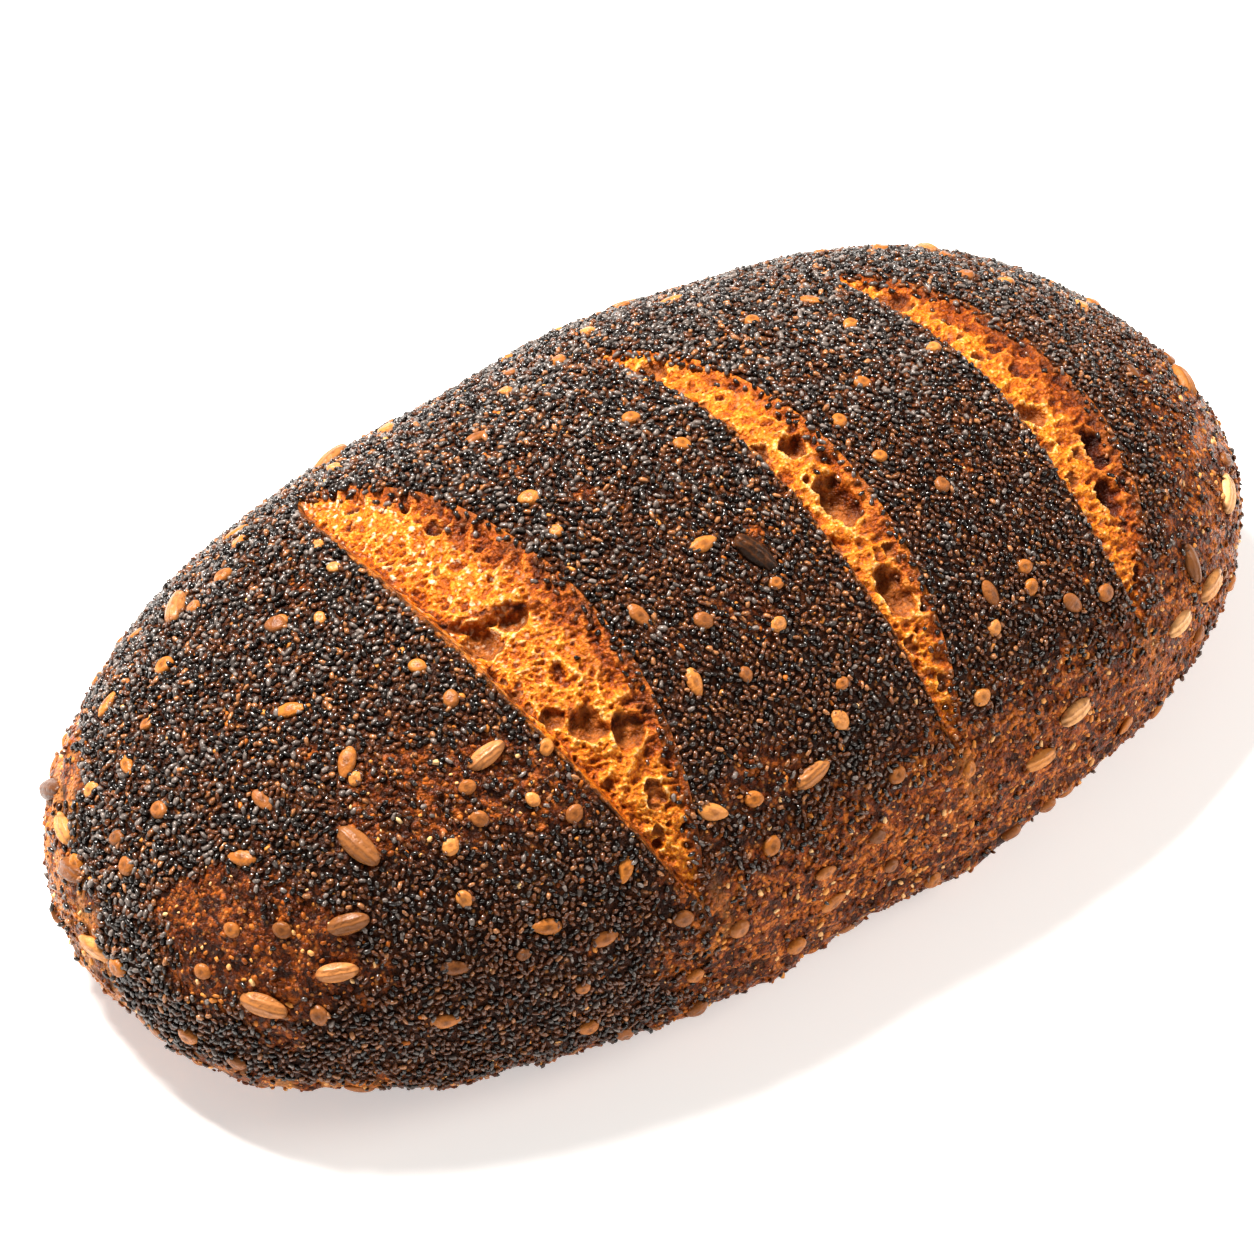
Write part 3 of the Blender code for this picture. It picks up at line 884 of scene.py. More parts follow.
def ledge_marks(grid):
    """Round the left cut's ledge, from 0 to 1: how singed its torn edge is, and the hollow below it."""
    past = past_ledge(grid.places, grid.along, grid.across)
    patchy = smooth_step(-0.9, 0.1, waves(grid.places, 0.004, 46)) * smooth_step(0.9, 0.3, grid.across)
    singed = bump_at(past, -0.0030, 0.0066) * patchy
    below = bump_at(past, 0.012, 0.012) * smooth_step(0.9, 0.2, grid.across)
    return singed, below


def torn_toast(cut, number, grid):
    """How toasted the crumb is: more towards the right lip, and burnt on the left cut's ledge and spots."""
    wavy = grid.across + 0.14 * waves(grid.places, 0.007, 43 + number)
    toast = smooth_step(cut.toast_from, cut.toast_full, wavy)
    if number == LEFT:
        singed, below = ledge_marks(grid)
        toast = np.max([toast, 1.5 * singed, 0.12 * below], axis=0)
        for at, side in BURNT_SPOTS:
            away = np.hypot((grid.along - at) * grid.run, (grid.across - side) * grid.half)
            away = away + 0.0004 * waves(grid.places, 0.0015, 68)
            toast = np.maximum(toast, bump_at(away, 0, 0.0013))
    return toast


def torn_pores(number, grid):
    """Depth of the pores, with patches of fewer, and where the row of pores beside the left lip lies."""
    bites = np.zeros(len(grid.along))
    for pores in PORES:
        bites = bites + pits(grid.pore_along + 0.3 * number, grid.pore_across + 0.1, *pores)
    bites = bites * (0.35 + 0.65 * smooth_step(-0.9, 0.3, waves(grid.places, 0.0085, 81 + number)))
    beside_lip = smooth_step(0.0004, 0.0009, grid.from_left) * smooth_step(0.0042, 0.0030, grid.from_left)
    row = beside_lip * pits(grid.pore_along, grid.pore_across, *LIP_PORES)
    return bites + row * smooth_step(-0.6, 0.4, waves(grid.places, 0.02, 69)), beside_lip


def torn_strands(number, grid):
    """Height of the strands: ridges 0.6 - |w|, summed over their wavelengths."""
    relief = np.zeros(len(grid.along))
    for wavelength, tall, draw in STRANDS:
        share = 1.0 if number == LEFT or wavelength > FINE_STRAND else FINE_IN_NARROW_CUTS
        relief = relief + share * tall * (0.6 - np.abs(waves(grid.places, wavelength, draw + number)))
    return relief


def torn_lips(grid):
    """Heights of the ragged left and right lips, bell curves beside them, and of the skirt outside both."""
    ragged = 0.40 + 0.45 * waves(grid.places, 0.0060, 65) + 0.35 * waves(grid.places, 0.0022, 66)
    left = LEFT_LIP * np.clip(ragged, -0.7, 1.3) * bump_at(grid.from_left, LEFT_LIP_IN, LEFT_LIP_WIDE)
    ragged = 0.6 + 0.5 * waves(grid.places, 0.0050, 70) + 0.3 * waves(grid.places, 0.002, 71)
    right = RIGHT_LIP * np.clip(ragged, -0.3, 1.4) * bump_at(grid.from_right, RIGHT_LIP_IN, RIGHT_LIP_WIDE)
    right = right * smooth_step(0, 0.004, grid.half)
    return left, right, np.minimum(grid.edge, 0) * SKIRT_SLOPE


def crumb_colours(number, grid, height, bites, bowl_rim, inside, toast):
    """Numbers for the crumb's material at each point, from 0 to 1.

    The relief shade is painted light and shade: it rises where a point stands above the mean of its
    surroundings and falls in its pores, its hollows and the groove beside the left lip, and bubbles' rims
    are painted paler.
    """
    surface = height.reshape(grid.shape)
    above = (surface - box_blur(surface, NEAR_BLUR)).ravel()
    above = above + 0.20 * (surface - box_blur(surface, WIDE_BLUR)).ravel()
    band = bump_at(grid.from_left, 0.0006, 0.0010)
    painted_rim_highlight = 0.10 * np.clip(bowl_rim - inside, 0, 1)
    brighter = 0.03 if number == LEFT else 0.03 * smooth_step(0.2, -0.5, grid.across)
    # Painted light and shade: paler where the crumb stands high and on bubbles' rims, darker in pores,
    # hollows and the groove beside the left lip.
    relief_shade = RELIEF_SHADE_TONE + above / RELIEF_SHADE_HEIGHT - 0.36 * bites / RELIEF_SHADE_PORE - 0.20 * inside - 0.30 * band
    relief_shade = relief_shade + painted_rim_highlight + brighter
    if number == MIDDLE:
        toast = toast * (0.50 + 0.50 * smooth_step(0.12, 0.45, grid.along))
    edge_line = 0.95 * bump_at(grid.from_right, -0.0002, 0.0011) * smooth_step(0, 0.002, grid.half)
    toast = np.maximum(toast, edge_line * np.clip(0.8 + 0.4 * waves(grid.places, 0.006, 83), 0, 1))
    rim_reach = 0.0014 + 0.0006 * np.clip(waves(grid.places, 0.008, 67), -1, 1)
    return {
        "toast": toast,
        "relief_shade": np.clip(relief_shade, 0, 1),
        "rim": bump_at(grid.from_left, 0.0001, rim_reach),
        "film_and_shade": inside,
        # Painted glints, strongest at the back of the left cut.
        "painted_glints": smooth_step(0.80, 0.30, grid.along) if number == LEFT else 0.12 + 0 * grid.along,
    }


def crumb_surface(cut, number):
    """The torn top of one cut's crumb: its grid, points, heights over the smooth crown, and colours.

    Each point of the crown moves along its normal by the strands' height, less the floor's depth, the
    bubbles' bowls and the pores, and the two lips and the skirt are added.
    """
    grid = crumb_grid(cut, number)
    depth, bowls, bowl_rim, inside = torn_floor(cut, number, grid)
    if number == LEFT:
        depth = depth + ledge_drop(grid.places, grid.along, grid.across)
        # The hollow below the ledge takes the darker hollow colour too, partly painted shade.
        inside = np.maximum(inside, 0.7 * ledge_marks(grid)[1])
    toast = torn_toast(cut, number, grid)
    bites, beside_lip = torn_pores(number, grid)
    # Strands are lower in pores and hollows, and drawn out along the steep left wall.
    relief = torn_strands(number, grid)
    relief = relief * (1 - 0.6 * np.clip(bites / 0.0008, 0, 1)) * (1 - 0.60 * inside)
    relief = relief + BUBBLE_RIM * bowl_rim
    wall = smooth_step(-0.60, -0.82, grid.across)
    drawn_out = np.stack([0.16 * grid.pore_along, grid.pore_across, 0 * grid.pore_along], axis=1)
    relief = relief * (1 - 0.7 * wall) + wall * (WALL_STRANDS * waves(drawn_out, 0.0011, 72 + number))
    bites = bites * (1 - 0.5 * inside) * (1 - 0.75 * wall * (1 - beside_lip))
    room = smooth_step(0.0003, 0.0022, grid.edge)
    height = -depth + room * (relief - bowls - bites * (1 - 0.35 * toast))
    left_lip, right_lip, skirt = torn_lips(grid)
    height = height + left_lip + right_lip + skirt
    points = grid.places + grid.normals * (unevenness(grid.places) + height)[:, None]
    return grid, points, height, crumb_colours(number, grid, height, bites, bowl_rim, inside, toast)


def crumb_piece(cut, number, name, material):
    """The crumb of one cut as a closed body: its torn top, and an underside hidden in the loaf."""
    grid, points, height, colours = crumb_surface(cut, number)
    rows, columns = grid.shape
    top = points.reshape(rows, columns, 3)
    deep = height.reshape(rows, columns).min(axis=1)[:, None, None] - UNDER_DEPTH
    picks = [columns - 1 - columns // 6, columns // 2, columns // 6]
    lift = (height.reshape(rows, columns)[:, picks])[..., None]
    under = top[:, picks] + grid.normals.reshape(rows, columns, 3)[:, picks] * (deep - lift)
    rings = np.concatenate([top, under], axis=1)
    first, last = rings[0].mean(axis=0), rings[-1].mean(axis=0)
    body = np.concatenate([[first], rings.reshape(-1, 3), [last]])
    for label, values in colours.items():
        shown = values.reshape(rows, columns)
        full = np.concatenate([shown, shown[:, picks]], axis=1).ravel()
        colours[label] = np.concatenate([[full[0]], full, [full[-1]]])
    mesh_piece(name, body, loft_faces(rows, columns + 3), material, "crumb", **colours)
    return grid, points


def bean(rings, sides, pointed, blunt=0.7, bend=0.0):
    """A closed bean of unit length, width and thickness, its length along x: its points and triangles.

    Its girth at a share s of the length is sin(pi s)^blunt (1 - pointed (s - 0.35)), and it bends sideways
    by bend (x^2 - 0.1).
    """
    shares = (1 - np.cos(math.pi * np.linspace(0, 1, rings + 2)[1:-1])) / 2
    spin = 2 * math.pi * np.arange(sides) / sides
    s, v = (g.ravel() for g in np.meshgrid(shares, spin, indexing="ij"))
    girth = np.sin(math.pi * s) ** blunt * (1 - pointed * (s - 0.35))
    points = np.stack([s - 0.5, girth * np.cos(v) / 2, girth * np.sin(v) / 2], axis=1)
    points = np.concatenate([[[-0.5, 0, 0]], points, [[0.5, 0, 0]]])
    points[:, 1] += bend * (points[:, 0] ** 2 - 0.1)
    return points, loft_faces(rings, sides)


def seed_axes(normals, ways):
    """Three unit axes for each seed: up along its normal, ahead as near its way as can be, and across."""
    up = normals / np.linalg.norm(normals, axis=1, keepdims=True)
    across = np.cross(up, ways)
    across /= np.linalg.norm(across, axis=1, keepdims=True)
    return np.stack([np.cross(across, up), across, up], axis=1)


def strew(shape, centres, axes, sizes):
    """All points and triangles of a small shape's copies, each of its own length, width and thickness."""
    points, faces = shape
    placed = centres[:, None] + np.einsum("npk,nkj->npj", points[None] * sizes[:, None], axes)
    shifted = faces[None] + len(points) * np.arange(len(centres))[:, None, None]
    return placed.reshape(-1, 3), shifted.reshape(-1, 3)


def even_sample(rng, points, faces, count):
    """Random points spread evenly over a mesh by area."""
    corners = points[faces]
    areas = np.linalg.norm(np.cross(corners[:, 1] - corners[:, 0], corners[:, 2] - corners[:, 0]), axis=1)
    chosen = corners[rng.choice(len(faces), count, p=areas / areas.sum())]
    root, share = np.sqrt(rng.uniform(size=count)), rng.uniform(size=count)
    weights = np.stack([1 - root, root * (1 - share), root * share], axis=1)
    return np.einsum("nk,nkj->nj", weights, chosen)


def close_pairs(points, reach):
    """Each pair of points closer than reach: each cell of a grid against itself and half its neighbours."""
    base = np.array([1, 1 << 12, 1 << 24])
    keys = np.floor(points / reach + 1024).astype(np.int64) @ base
    order = np.argsort(keys, kind="stable")
    ranked = keys[order]
    steps = [(i, j, k) for k in (-1, 0, 1) for j in (-1, 0, 1) for i in (-1, 0, 1)]
    found = []
    for step in steps[13:]:
        wanted = ranked + int(np.dot(step, base))
        start, stop = np.searchsorted(ranked, wanted, "left"), np.searchsorted(ranked, wanted, "right")
        counts = stop - start
        here = np.repeat(np.arange(len(points)), counts)
        offset = np.arange(counts.sum()) - np.repeat(np.cumsum(counts) - counts, counts)
        there = np.repeat(start, counts) + offset
        here, there = order[here], order[there]
        near = np.linalg.norm(points[here] - points[there], axis=1) < reach
        if step == (0, 0, 0):
            near &= here < there
        found.append(np.stack([here[near], there[near]], axis=1))
    return np.sort(np.concatenate(found), axis=1)


def spaced_apart(points, reach):
    """Which points to keep so that none are closer than reach: the earlier of two close ones stays."""
    first, second = close_pairs(points, reach).T
    waiting = np.ones(len(points), bool)
    kept = np.zeros(len(points), bool)
    while waiting.any():
        both = waiting[first] & waiting[second]
        blocked = np.zeros(len(points), bool)
        blocked[second[both]] = True
        taken = waiting & ~blocked
        kept |= taken
        gone = taken.copy()
        gone[second[taken[first]]] = True
        gone[first[taken[second]]] = True
        waiting &= ~gone
    return kept


def scatter_places(rng, taken, count):
    """Places for large seeds on the dough, even by area, apart from each other, the cuts and the foot."""
    half = np.array([LENGTH / 2, WIDTH / 2, CROWN_HEIGHT / 2])
    found = [Vector(p) for p in taken]
    kept = []
    while len(kept) < count:
        way = rng.normal(size=3)
        way /= np.linalg.norm(way)
        # A stretched sphere's points crowd at its ends, so those there are kept less often.
        if rng.uniform() > np.linalg.norm(way / half) * half.min():
            continue
        point = smooth_dough((way * half)[None])[0]
        x, y, z = point
        if z < FOOT_CLEAR or (z > BELLY_HEIGHT and nearest_cut_gap(x, y) < CUT_CLEAR):
            continue
        place = Vector(point)
        if all((place - other).length > SEED_GAP for other in found):
            found.append(place)
            kept.append(point)
    return kept


def large_seeds():
    """Kinds, places on the smooth dough, turns and sizes of the large seeds, as in the solid."""
    rng = np.random.default_rng(SEED_DRAW)
    kinds = [row[0] for row in PLACED]
    plan = np.array([row[1:3] for row in PLACED]) * MM
    places = list(crown_over(plan[:, 0], plan[:, 1]))
    turns = [math.radians(row[3]) for row in PLACED]
    kinds += [ROUND] * SCATTER_ROUND + [LINSEED] * SCATTER_FLAT
    loose = scatter_places(rng, places, SCATTER_ROUND + SCATTER_FLAT)
    turns += list(rng.uniform(-math.pi, math.pi, len(loose)))
    sizes = rng.uniform(*SEED_SIZES, len(kinds))
    extra = np.random.default_rng(SMALL_PALE_DRAW)
    plan = np.array(SMALL_PALE) * MM
    kinds += [ROUND] * len(plan)
    kinds += [row[0] for row in END_SEEDS]
    belly = np.array([0, 0, BELLY_HEIGHT])
    ends = smooth_dough(np.array([row[1:4] for row in END_SEEDS]) * MM - belly)
    places = np.array(places + loose + list(crown_over(plan[:, 0], plan[:, 1])) + list(ends))
    small_turns = extra.uniform(-math.pi, math.pi, len(plan))
    end_turns = [math.radians(row[4]) for row in END_SEEDS]
    turns = np.array(turns + list(small_turns) + end_turns)
    sizes = np.concatenate([sizes, extra.uniform(*SMALL_PALE_SIZES, len(plan)), np.ones(len(END_SEEDS))])
    return kinds, places, turns, sizes


def seed_shape(kind, rings, sides):
    """A large seed: round ones have a dent on top, oats a crease along it and kernels a ridge."""
    points, faces = bean(rings, sides, kind.pointed, blunt=0.52 if kind in (ROUND, LINSEED) else 0.42)
    length, side, _ = points.T
    rise = np.zeros(len(points))
    if kind is ROUND:
        rise = -0.34 * bump_at(length, 0, 0.24) * bump_at(side, 0, 0.13)
    if kind is OAT:
        rise = -0.20 * bump_at(side, 0, 0.10)
    if kind is SUNFLOWER:
        rise = 0.08 * bump_at(side, 0, 0.12)
    points[:, 2] += np.where(points[:, 2] > 0, rise, 0)
    return points, faces


def add_large_seeds(materials):
    """Every large seed, one piece for each kind, each seed with its own tint and its middle marked."""
    kinds, places, turns, sizes = large_seeds()
    normals = outward(places)
    skin = places + normals * unevenness(places)[:, None]
    ways = np.stack([np.cos(turns), np.sin(turns), np.zeros(len(turns))], axis=1)
    rng = np.random.default_rng(TINT_DRAW)
    darkest, palest = TINTS
    tints = darkest + (palest - darkest) * rng.uniform(size=len(kinds)) ** 1.3
    # Seeds low on the front are given darker, browner tints: painted shade.
    tints = tints * np.where((places[:, 2] < LOW_IN_FRONT) & (places[:, 1] < 0), DARKER_LOW_AS_SHADE, 1)
    for x, y, tint in SEED_TINTS:
        tints[np.argmin(np.hypot(places[:, 0] - x * MM, places[:, 1] - y * MM))] = tint
    detail = {
        "sunflower_kernels": (SUNFLOWER, 15, 18, "kernel"),
        "oats": (OAT, 15, 18, "kernel"),
        "linseeds": (LINSEED, 11, 14, "gold_seed"),
        "round_seeds": (ROUND, 11, 14, "gold_seed"),
    }
    for name, (kind, rings, sides, slot) in detail.items():
        mine = np.array([other is kind for other in kinds])
        shape = seed_shape(kind, rings, sides)
        size = np.array([kind.length, kind.width, kind.thickness]) * sizes[mine, None]
        centres = skin[mine] + normals[mine] * (kind.thickness * (0.5 - SEED_SUNK) * sizes[mine])[:, None]
        lean = normals[mine] + SEED_LEAN * rng.normal(size=(mine.sum(), 3))
        points, faces = strew(shape, centres, seed_axes(lean, ways[mine]), size)
        length, side, _ = np.tile(shape[0], (mine.sum(), 1)).T
        tint = np.repeat(tints[mine], len(shape[0]))
        reach = np.hypot(length, side) * 2
        marks = {"tint": tint, "side": side, "reach": reach, "length": length}
        mesh_piece(name, points, faces, materials[name], slot, **marks)
    clear = np.array([kind.length * SEED_CLEAR for kind in kinds]) * sizes
    return skin, clear


def clear_of(points, centres, reaches):
    """Which points lie clear of all these centres."""
    clear = np.ones(len(points), bool)
    for centre, reach in zip(centres, reaches):
        clear &= ((points - centre) ** 2).sum(axis=1) > reach**2
    return clear


def fringe(rng, crumbs, wanted):
    """Poppy seeds on the toasted side of each cut, thinning out inwards: places and normals."""
    places, normals = [], []
    for grid, points in crumbs:
        from_right = np.where(grid.across > 0, grid.edge, 1.0)
        chance = np.exp(-np.maximum(from_right - FRINGE_FULL, 0) / FRINGE_FADE) * (grid.edge > 0.0001)
        chance = chance + FRINGE_INSIDE * (grid.edge > 0.0015)
        picks = rng.choice(len(points), wanted, replace=False, p=chance / chance.sum())
        places.append(points[picks])
        normals.append(grid.normals[picks])
    places, normals = np.concatenate(places), np.concatenate(normals)
    kept = spaced_apart(places, FRINGE_GAP)
    return places[kept], normals[kept]


def front_share(points):
    """0 on the back and left of the loaf, rising to 1 on its front and right end."""
    x, y, _ = points.T / MM
    return np.maximum(smooth_step(5, -50, y), smooth_step(50, 100, x) * smooth_step(20, -10, y))


def crust_places(rng, crust, count):
    """Random places on the smooth dough, clear of its flat foot and its cuts."""
    places = even_sample(rng, *crust, count)
    x, y, z = places.T
    off_the_cuts = (nearest_cut_gap(x, y) > POPPY_LIP_CLEAR) | (z < BELLY_HEIGHT)
    return places[(z > POPPY_FOOT) & off_the_cuts]


def add_poppy(crust, crumbs, large, materials):
    """Poppy seeds over the crust, one piece for each colour, spaced apart and few on the bare places."""
    rng = np.random.default_rng(POPPY_DRAW)
    tries = crust_places(rng, crust, POPPY_TRIES)
    tries = tries[clear_of(tries, *large)]
    tries = tries[spaced_apart(tries, POPPY_GAP)]
    tries = tries[rng.uniform(size=len(tries)) > bareness(tries)]
    normals = outward(tries)
    centres = tries + normals * skin_relief(tries)[:, None]
    extra, extra_normals = fringe(rng, crumbs, FRINGE_SEEDS)
    centres = np.concatenate([centres, extra])
    normals = np.concatenate([normals, extra_normals])
    count = len(centres)
    centres = centres + normals * rng.uniform(*POPPY_LIFT, count)[:, None]
    axes = seed_axes(normals + POPPY_LEAN * rng.normal(size=(count, 3)), rng.normal(size=(count, 3)))
    front = front_share(centres)
    sizes = np.array([POPPY.length, POPPY.width, POPPY.thickness]) * rng.uniform(*POPPY_SIZES, (count, 3))
    sizes = sizes * (POPPY_AT_BACK + (POPPY_AT_FRONT - POPPY_AT_BACK) * front)[:, None]
    kind_of = rng.choice(len(POPPY_KINDS), count, p=[kind[1] for kind in POPPY_KINDS])
    # More of the paler of the dark kinds turn brown.
    browner = rng.uniform(size=count) < BROWNER_IN_FRONT * front * (0.6 + 0.5 * kind_of)
    browner = browner & (kind_of < BROWN_KIND)
    kind_of[browner] = BROWN_KIND
    shape = bean(2, 4, POPPY.pointed, blunt=0.50, bend=0.55)
    for number, (name, _, _, _) in enumerate(POPPY_KINDS):
        mine = kind_of == number
        points, triangles = strew(shape, centres[mine], axes[mine], sizes[mine])
        tint = np.repeat(rng.uniform(size=mine.sum()), len(shape[0]))
        material = materials[name]
        mesh_piece(f"poppy_{name}", points, triangles, material, "poppy_seed", smooth=False, tint=tint)


def add_grains(crust, large, material):
    """Grains of bran on the crust: a few among the poppy seeds, and many where it is bare."""
    rng = np.random.default_rng(GRAIN_DRAW)
    tries = crust_places(rng, crust, GRAIN_TRIES)
    chance = 0.06 + 0.8 * bareness(tries) ** 1.2
    tries = tries[rng.uniform(size=len(tries)) < chance]
    tries = tries[clear_of(tries, *large)]
    tries = tries[spaced_apart(tries, GRAIN_GAP)]
    normals = outward(tries)
    centres = tries + normals * (skin_relief(tries) - GRAIN_SINK)[:, None]
    count = len(tries)
    axes = seed_axes(normals + GRAIN_LEAN * rng.normal(size=(count, 3)), rng.normal(size=(count, 3)))
    smallest, largest = GRAIN_SIZES
    bigness = smallest + (largest - smallest) * rng.uniform(size=(count, 1)) ** 2
    spread = bigness * rng.uniform(0.8, 1.2, (count, 3))
    sizes = np.array([GRAIN.length, GRAIN.width, GRAIN.thickness]) * spread
    shape = bean(2, 4, GRAIN.pointed, blunt=0.5)
    points, triangles = strew(shape, centres, axes, sizes)
    tint = np.repeat(rng.uniform(size=count), len(shape[0]))
    mesh_piece("bran_grains", points, triangles, material, "gold_seed", tint=tint)


class Nodes:
    """A material's node tree with short ways to add and join its nodes."""

    def __init__(self, name):
        self.material = bpy.data.materials.new(name)
        self.material.use_nodes = True
        self.tree = self.material.node_tree
        self.shader = self.tree.nodes["Principled BSDF"]

    def add(self, kind, **inputs):
        """A node of this kind with these inputs: numbers are set, and sockets are joined."""
        node = self.tree.nodes.new(kind)
        for label, value in inputs.items():
            self.feed(node.inputs[label.replace("_", " ")], value)
        return node

    def feed(self, socket, value):
        """Sets a socket to a number, or joins another node's socket to it."""
        if isinstance(value, bpy.types.NodeSocket):
            self.tree.links.new(value, socket)
        else:
            socket.default_value = value

    def place(self):
        """The place on the piece, in metres."""
        return self.add("ShaderNodeTexCoord").outputs["Object"]

    def number(self, label):
        """A number that the mesh holds at each point."""
        node = self.add("ShaderNodeAttribute")
        node.attribute_name = label
        return node.outputs["Fac"]

    def noise(self, size, detail=3.0, roughness=0.55, distortion=0.0):
        """Cloudy noise with features of this size in metres."""
        node = self.add("ShaderNodeTexNoise", Vector=self.place(), Scale=1 / size)
        node.inputs["Detail"].default_value = detail
        node.inputs["Roughness"].default_value = roughness
        node.inputs["Distortion"].default_value = distortion
        return node.outputs["Fac"]

    def cells(self, size):
        """Distance to the nearest of scattered points, this far apart."""
        return self.add("ShaderNodeTexVoronoi", Vector=self.place(), Scale=1 / size).outputs["Distance"]

    def lumps(self, size):
        """Close-packed lumps about this size: how far from a lump's middle, and each lump's own colour."""
        cloud = self.add("ShaderNodeTexNoise", Vector=self.place(), Scale=1 / size, Detail=2.0)
        moved = self.add("ShaderNodeVectorMath")
        moved.operation = "MULTIPLY_ADD"
        self.feed(moved.inputs[0], cloud.outputs["Color"])
        moved.inputs[1].default_value = (1.2 * size, 1.2 * size, 1.2 * size)
        self.feed(moved.inputs[2], self.place())
        node = self.add("ShaderNodeTexVoronoi", Vector=moved.outputs["Vector"], Scale=1 / size)
        return node.outputs["Distance"], node.outputs["Color"]

    def math(self, operation, first, second=0.0, clamp=False):
        """One operation on a number or socket, or on two."""
        node = self.add("ShaderNodeMath")
        node.operation = operation
        node.use_clamp = clamp
        self.feed(node.inputs[0], first)
        self.feed(node.inputs[1], second)
        return node.outputs[0]

    def between(self, value, low, high, to_low=0.0, to_high=1.0):
        """A number carried from one range to another, held inside it."""
        node = self.add("ShaderNodeMapRange", Value=value)
        node.inputs["From Min"].default_value = low
        node.inputs["From Max"].default_value = high
        node.inputs["To Min"].default_value = to_low
        node.inputs["To Max"].default_value = to_high
        return node.outputs["Result"]

    def ramp(self, value, *stops):
        """Colours along a number: each stop is its place and its colour."""
        node = self.add("ShaderNodeValToRGB", Fac=value)
        points = node.color_ramp.elements
        while len(points) < len(stops):
            points.new(0.5)
        for point, (at, colour) in zip(points, stops):
            point.position = at
            point.color = (*colour, 1)
        return node.outputs["Color"]

    def blend(self, share, first, second):
        """Two colours mixed by a share."""
        node = self.add("ShaderNodeMix")
        node.data_type = "RGBA"
        self.feed(node.inputs["Factor"], share)
        colours = [socket for socket in node.inputs if socket.type == "RGBA"]
        for socket, value in zip(colours, (first, second)):
            self.feed(socket, value if isinstance(value, bpy.types.NodeSocket) else (*value, 1))
        return [socket for socket in node.outputs if socket.type == "RGBA"][0]

    def finish(self, colour, roughness, height=None, depth=0.0002, **fixed):
        """The finished material: its surface's colour, roughness and bump, and its fixed values."""
        if not isinstance(colour, bpy.types.NodeSocket):
            colour = (*colour, 1)
        self.feed(self.shader.inputs["Base Color"], colour)
        self.feed(self.shader.inputs["Roughness"], roughness)
        if height is not None:
            bump = self.add("ShaderNodeBump", Height=height, Distance=depth)
            self.feed(self.shader.inputs["Normal"], bump.outputs["Normal"])
        for label, value in fixed.items():
            self.shader.inputs[label.replace("_", " ")].default_value = value
        return self.material


def crust_material():
    """Baked rye crust: dark red-brown, mottled, tan where it is light, with a dull gloss and blisters, and
    painted shade between the seeds, in the crease above the foot and in the crevices between its lumps.
    """
    n = Nodes("baked_rye_crust")
    grain = n.noise(0.0009, 3, 0.6)
    specks = n.cells(0.0016)
    far, own = n.lumps(0.0026)
    near, small_own = n.lumps(0.0012)
    tone = n.math("ADD", n.noise(0.0060, 5, 0.65, 1.0), n.between(own, 0.3, 0.7, -0.12, 0.12))
    tone = n.math("ADD", tone, n.between(small_own, 0.3, 0.7, -0.14, 0.14))
    dark = n.ramp(
        tone,
        (0.30, (0.026, 0.005, 0.001)),
        (0.52, (0.105, 0.019, 0.003)),
        (0.78, (0.340, 0.078, 0.009)),
    )
    light = n.ramp(
        tone,
        (0.28, (0.048, 0.009, 0.002)),
        (0.52, (0.235, 0.043, 0.005)),
        (0.80, (0.610, 0.170, 0.022)),
    )
    colour = n.blend(n.number("light"), dark, light)
    # Where poppy seeds cover the crust it is darkened nearly to black: painted shade between the seeds.
    colour = n.blend(n.between(n.number("bare"), 0.45, 0.05, 0, 0.85), colour, (0.016, 0.005, 0.002))
    # The crease above the foot is darkened: painted shade in the crease.
    colour = n.blend(n.number("crease"), colour, (0.018, 0.006, 0.003))
    colour = n.blend(n.between(specks, 0.30, 0.10, 0, 0.6), colour, (0.62, 0.24, 0.060))
    # The crevices between lumps and the low spots of the fine grain, where the bump sinks, are darkened:
    # painted shade.
    colour = n.blend(n.between(near, 0.48, 0.80, 0, 0.8), colour, (0.018, 0.006, 0.003))
    colour = n.blend(n.between(grain, 0.48, 0.34, 0, 0.7), colour, (0.016, 0.005, 0.003))
    colour = n.blend(n.number("glow"), colour, (0.62, 0.24, 0.06))
    height = n.math("ADD", n.math("MULTIPLY", far, -0.55), n.math("MULTIPLY", near, -0.45))
    height = n.math("ADD", height, n.math("MULTIPLY", grain, 0.45))
    roughness = n.between(grain, 0.3, 0.7, 0.20, 0.40)
    return n.finish(colour, roughness, height, 0.0013, Specular_IOR_Level=0.10)


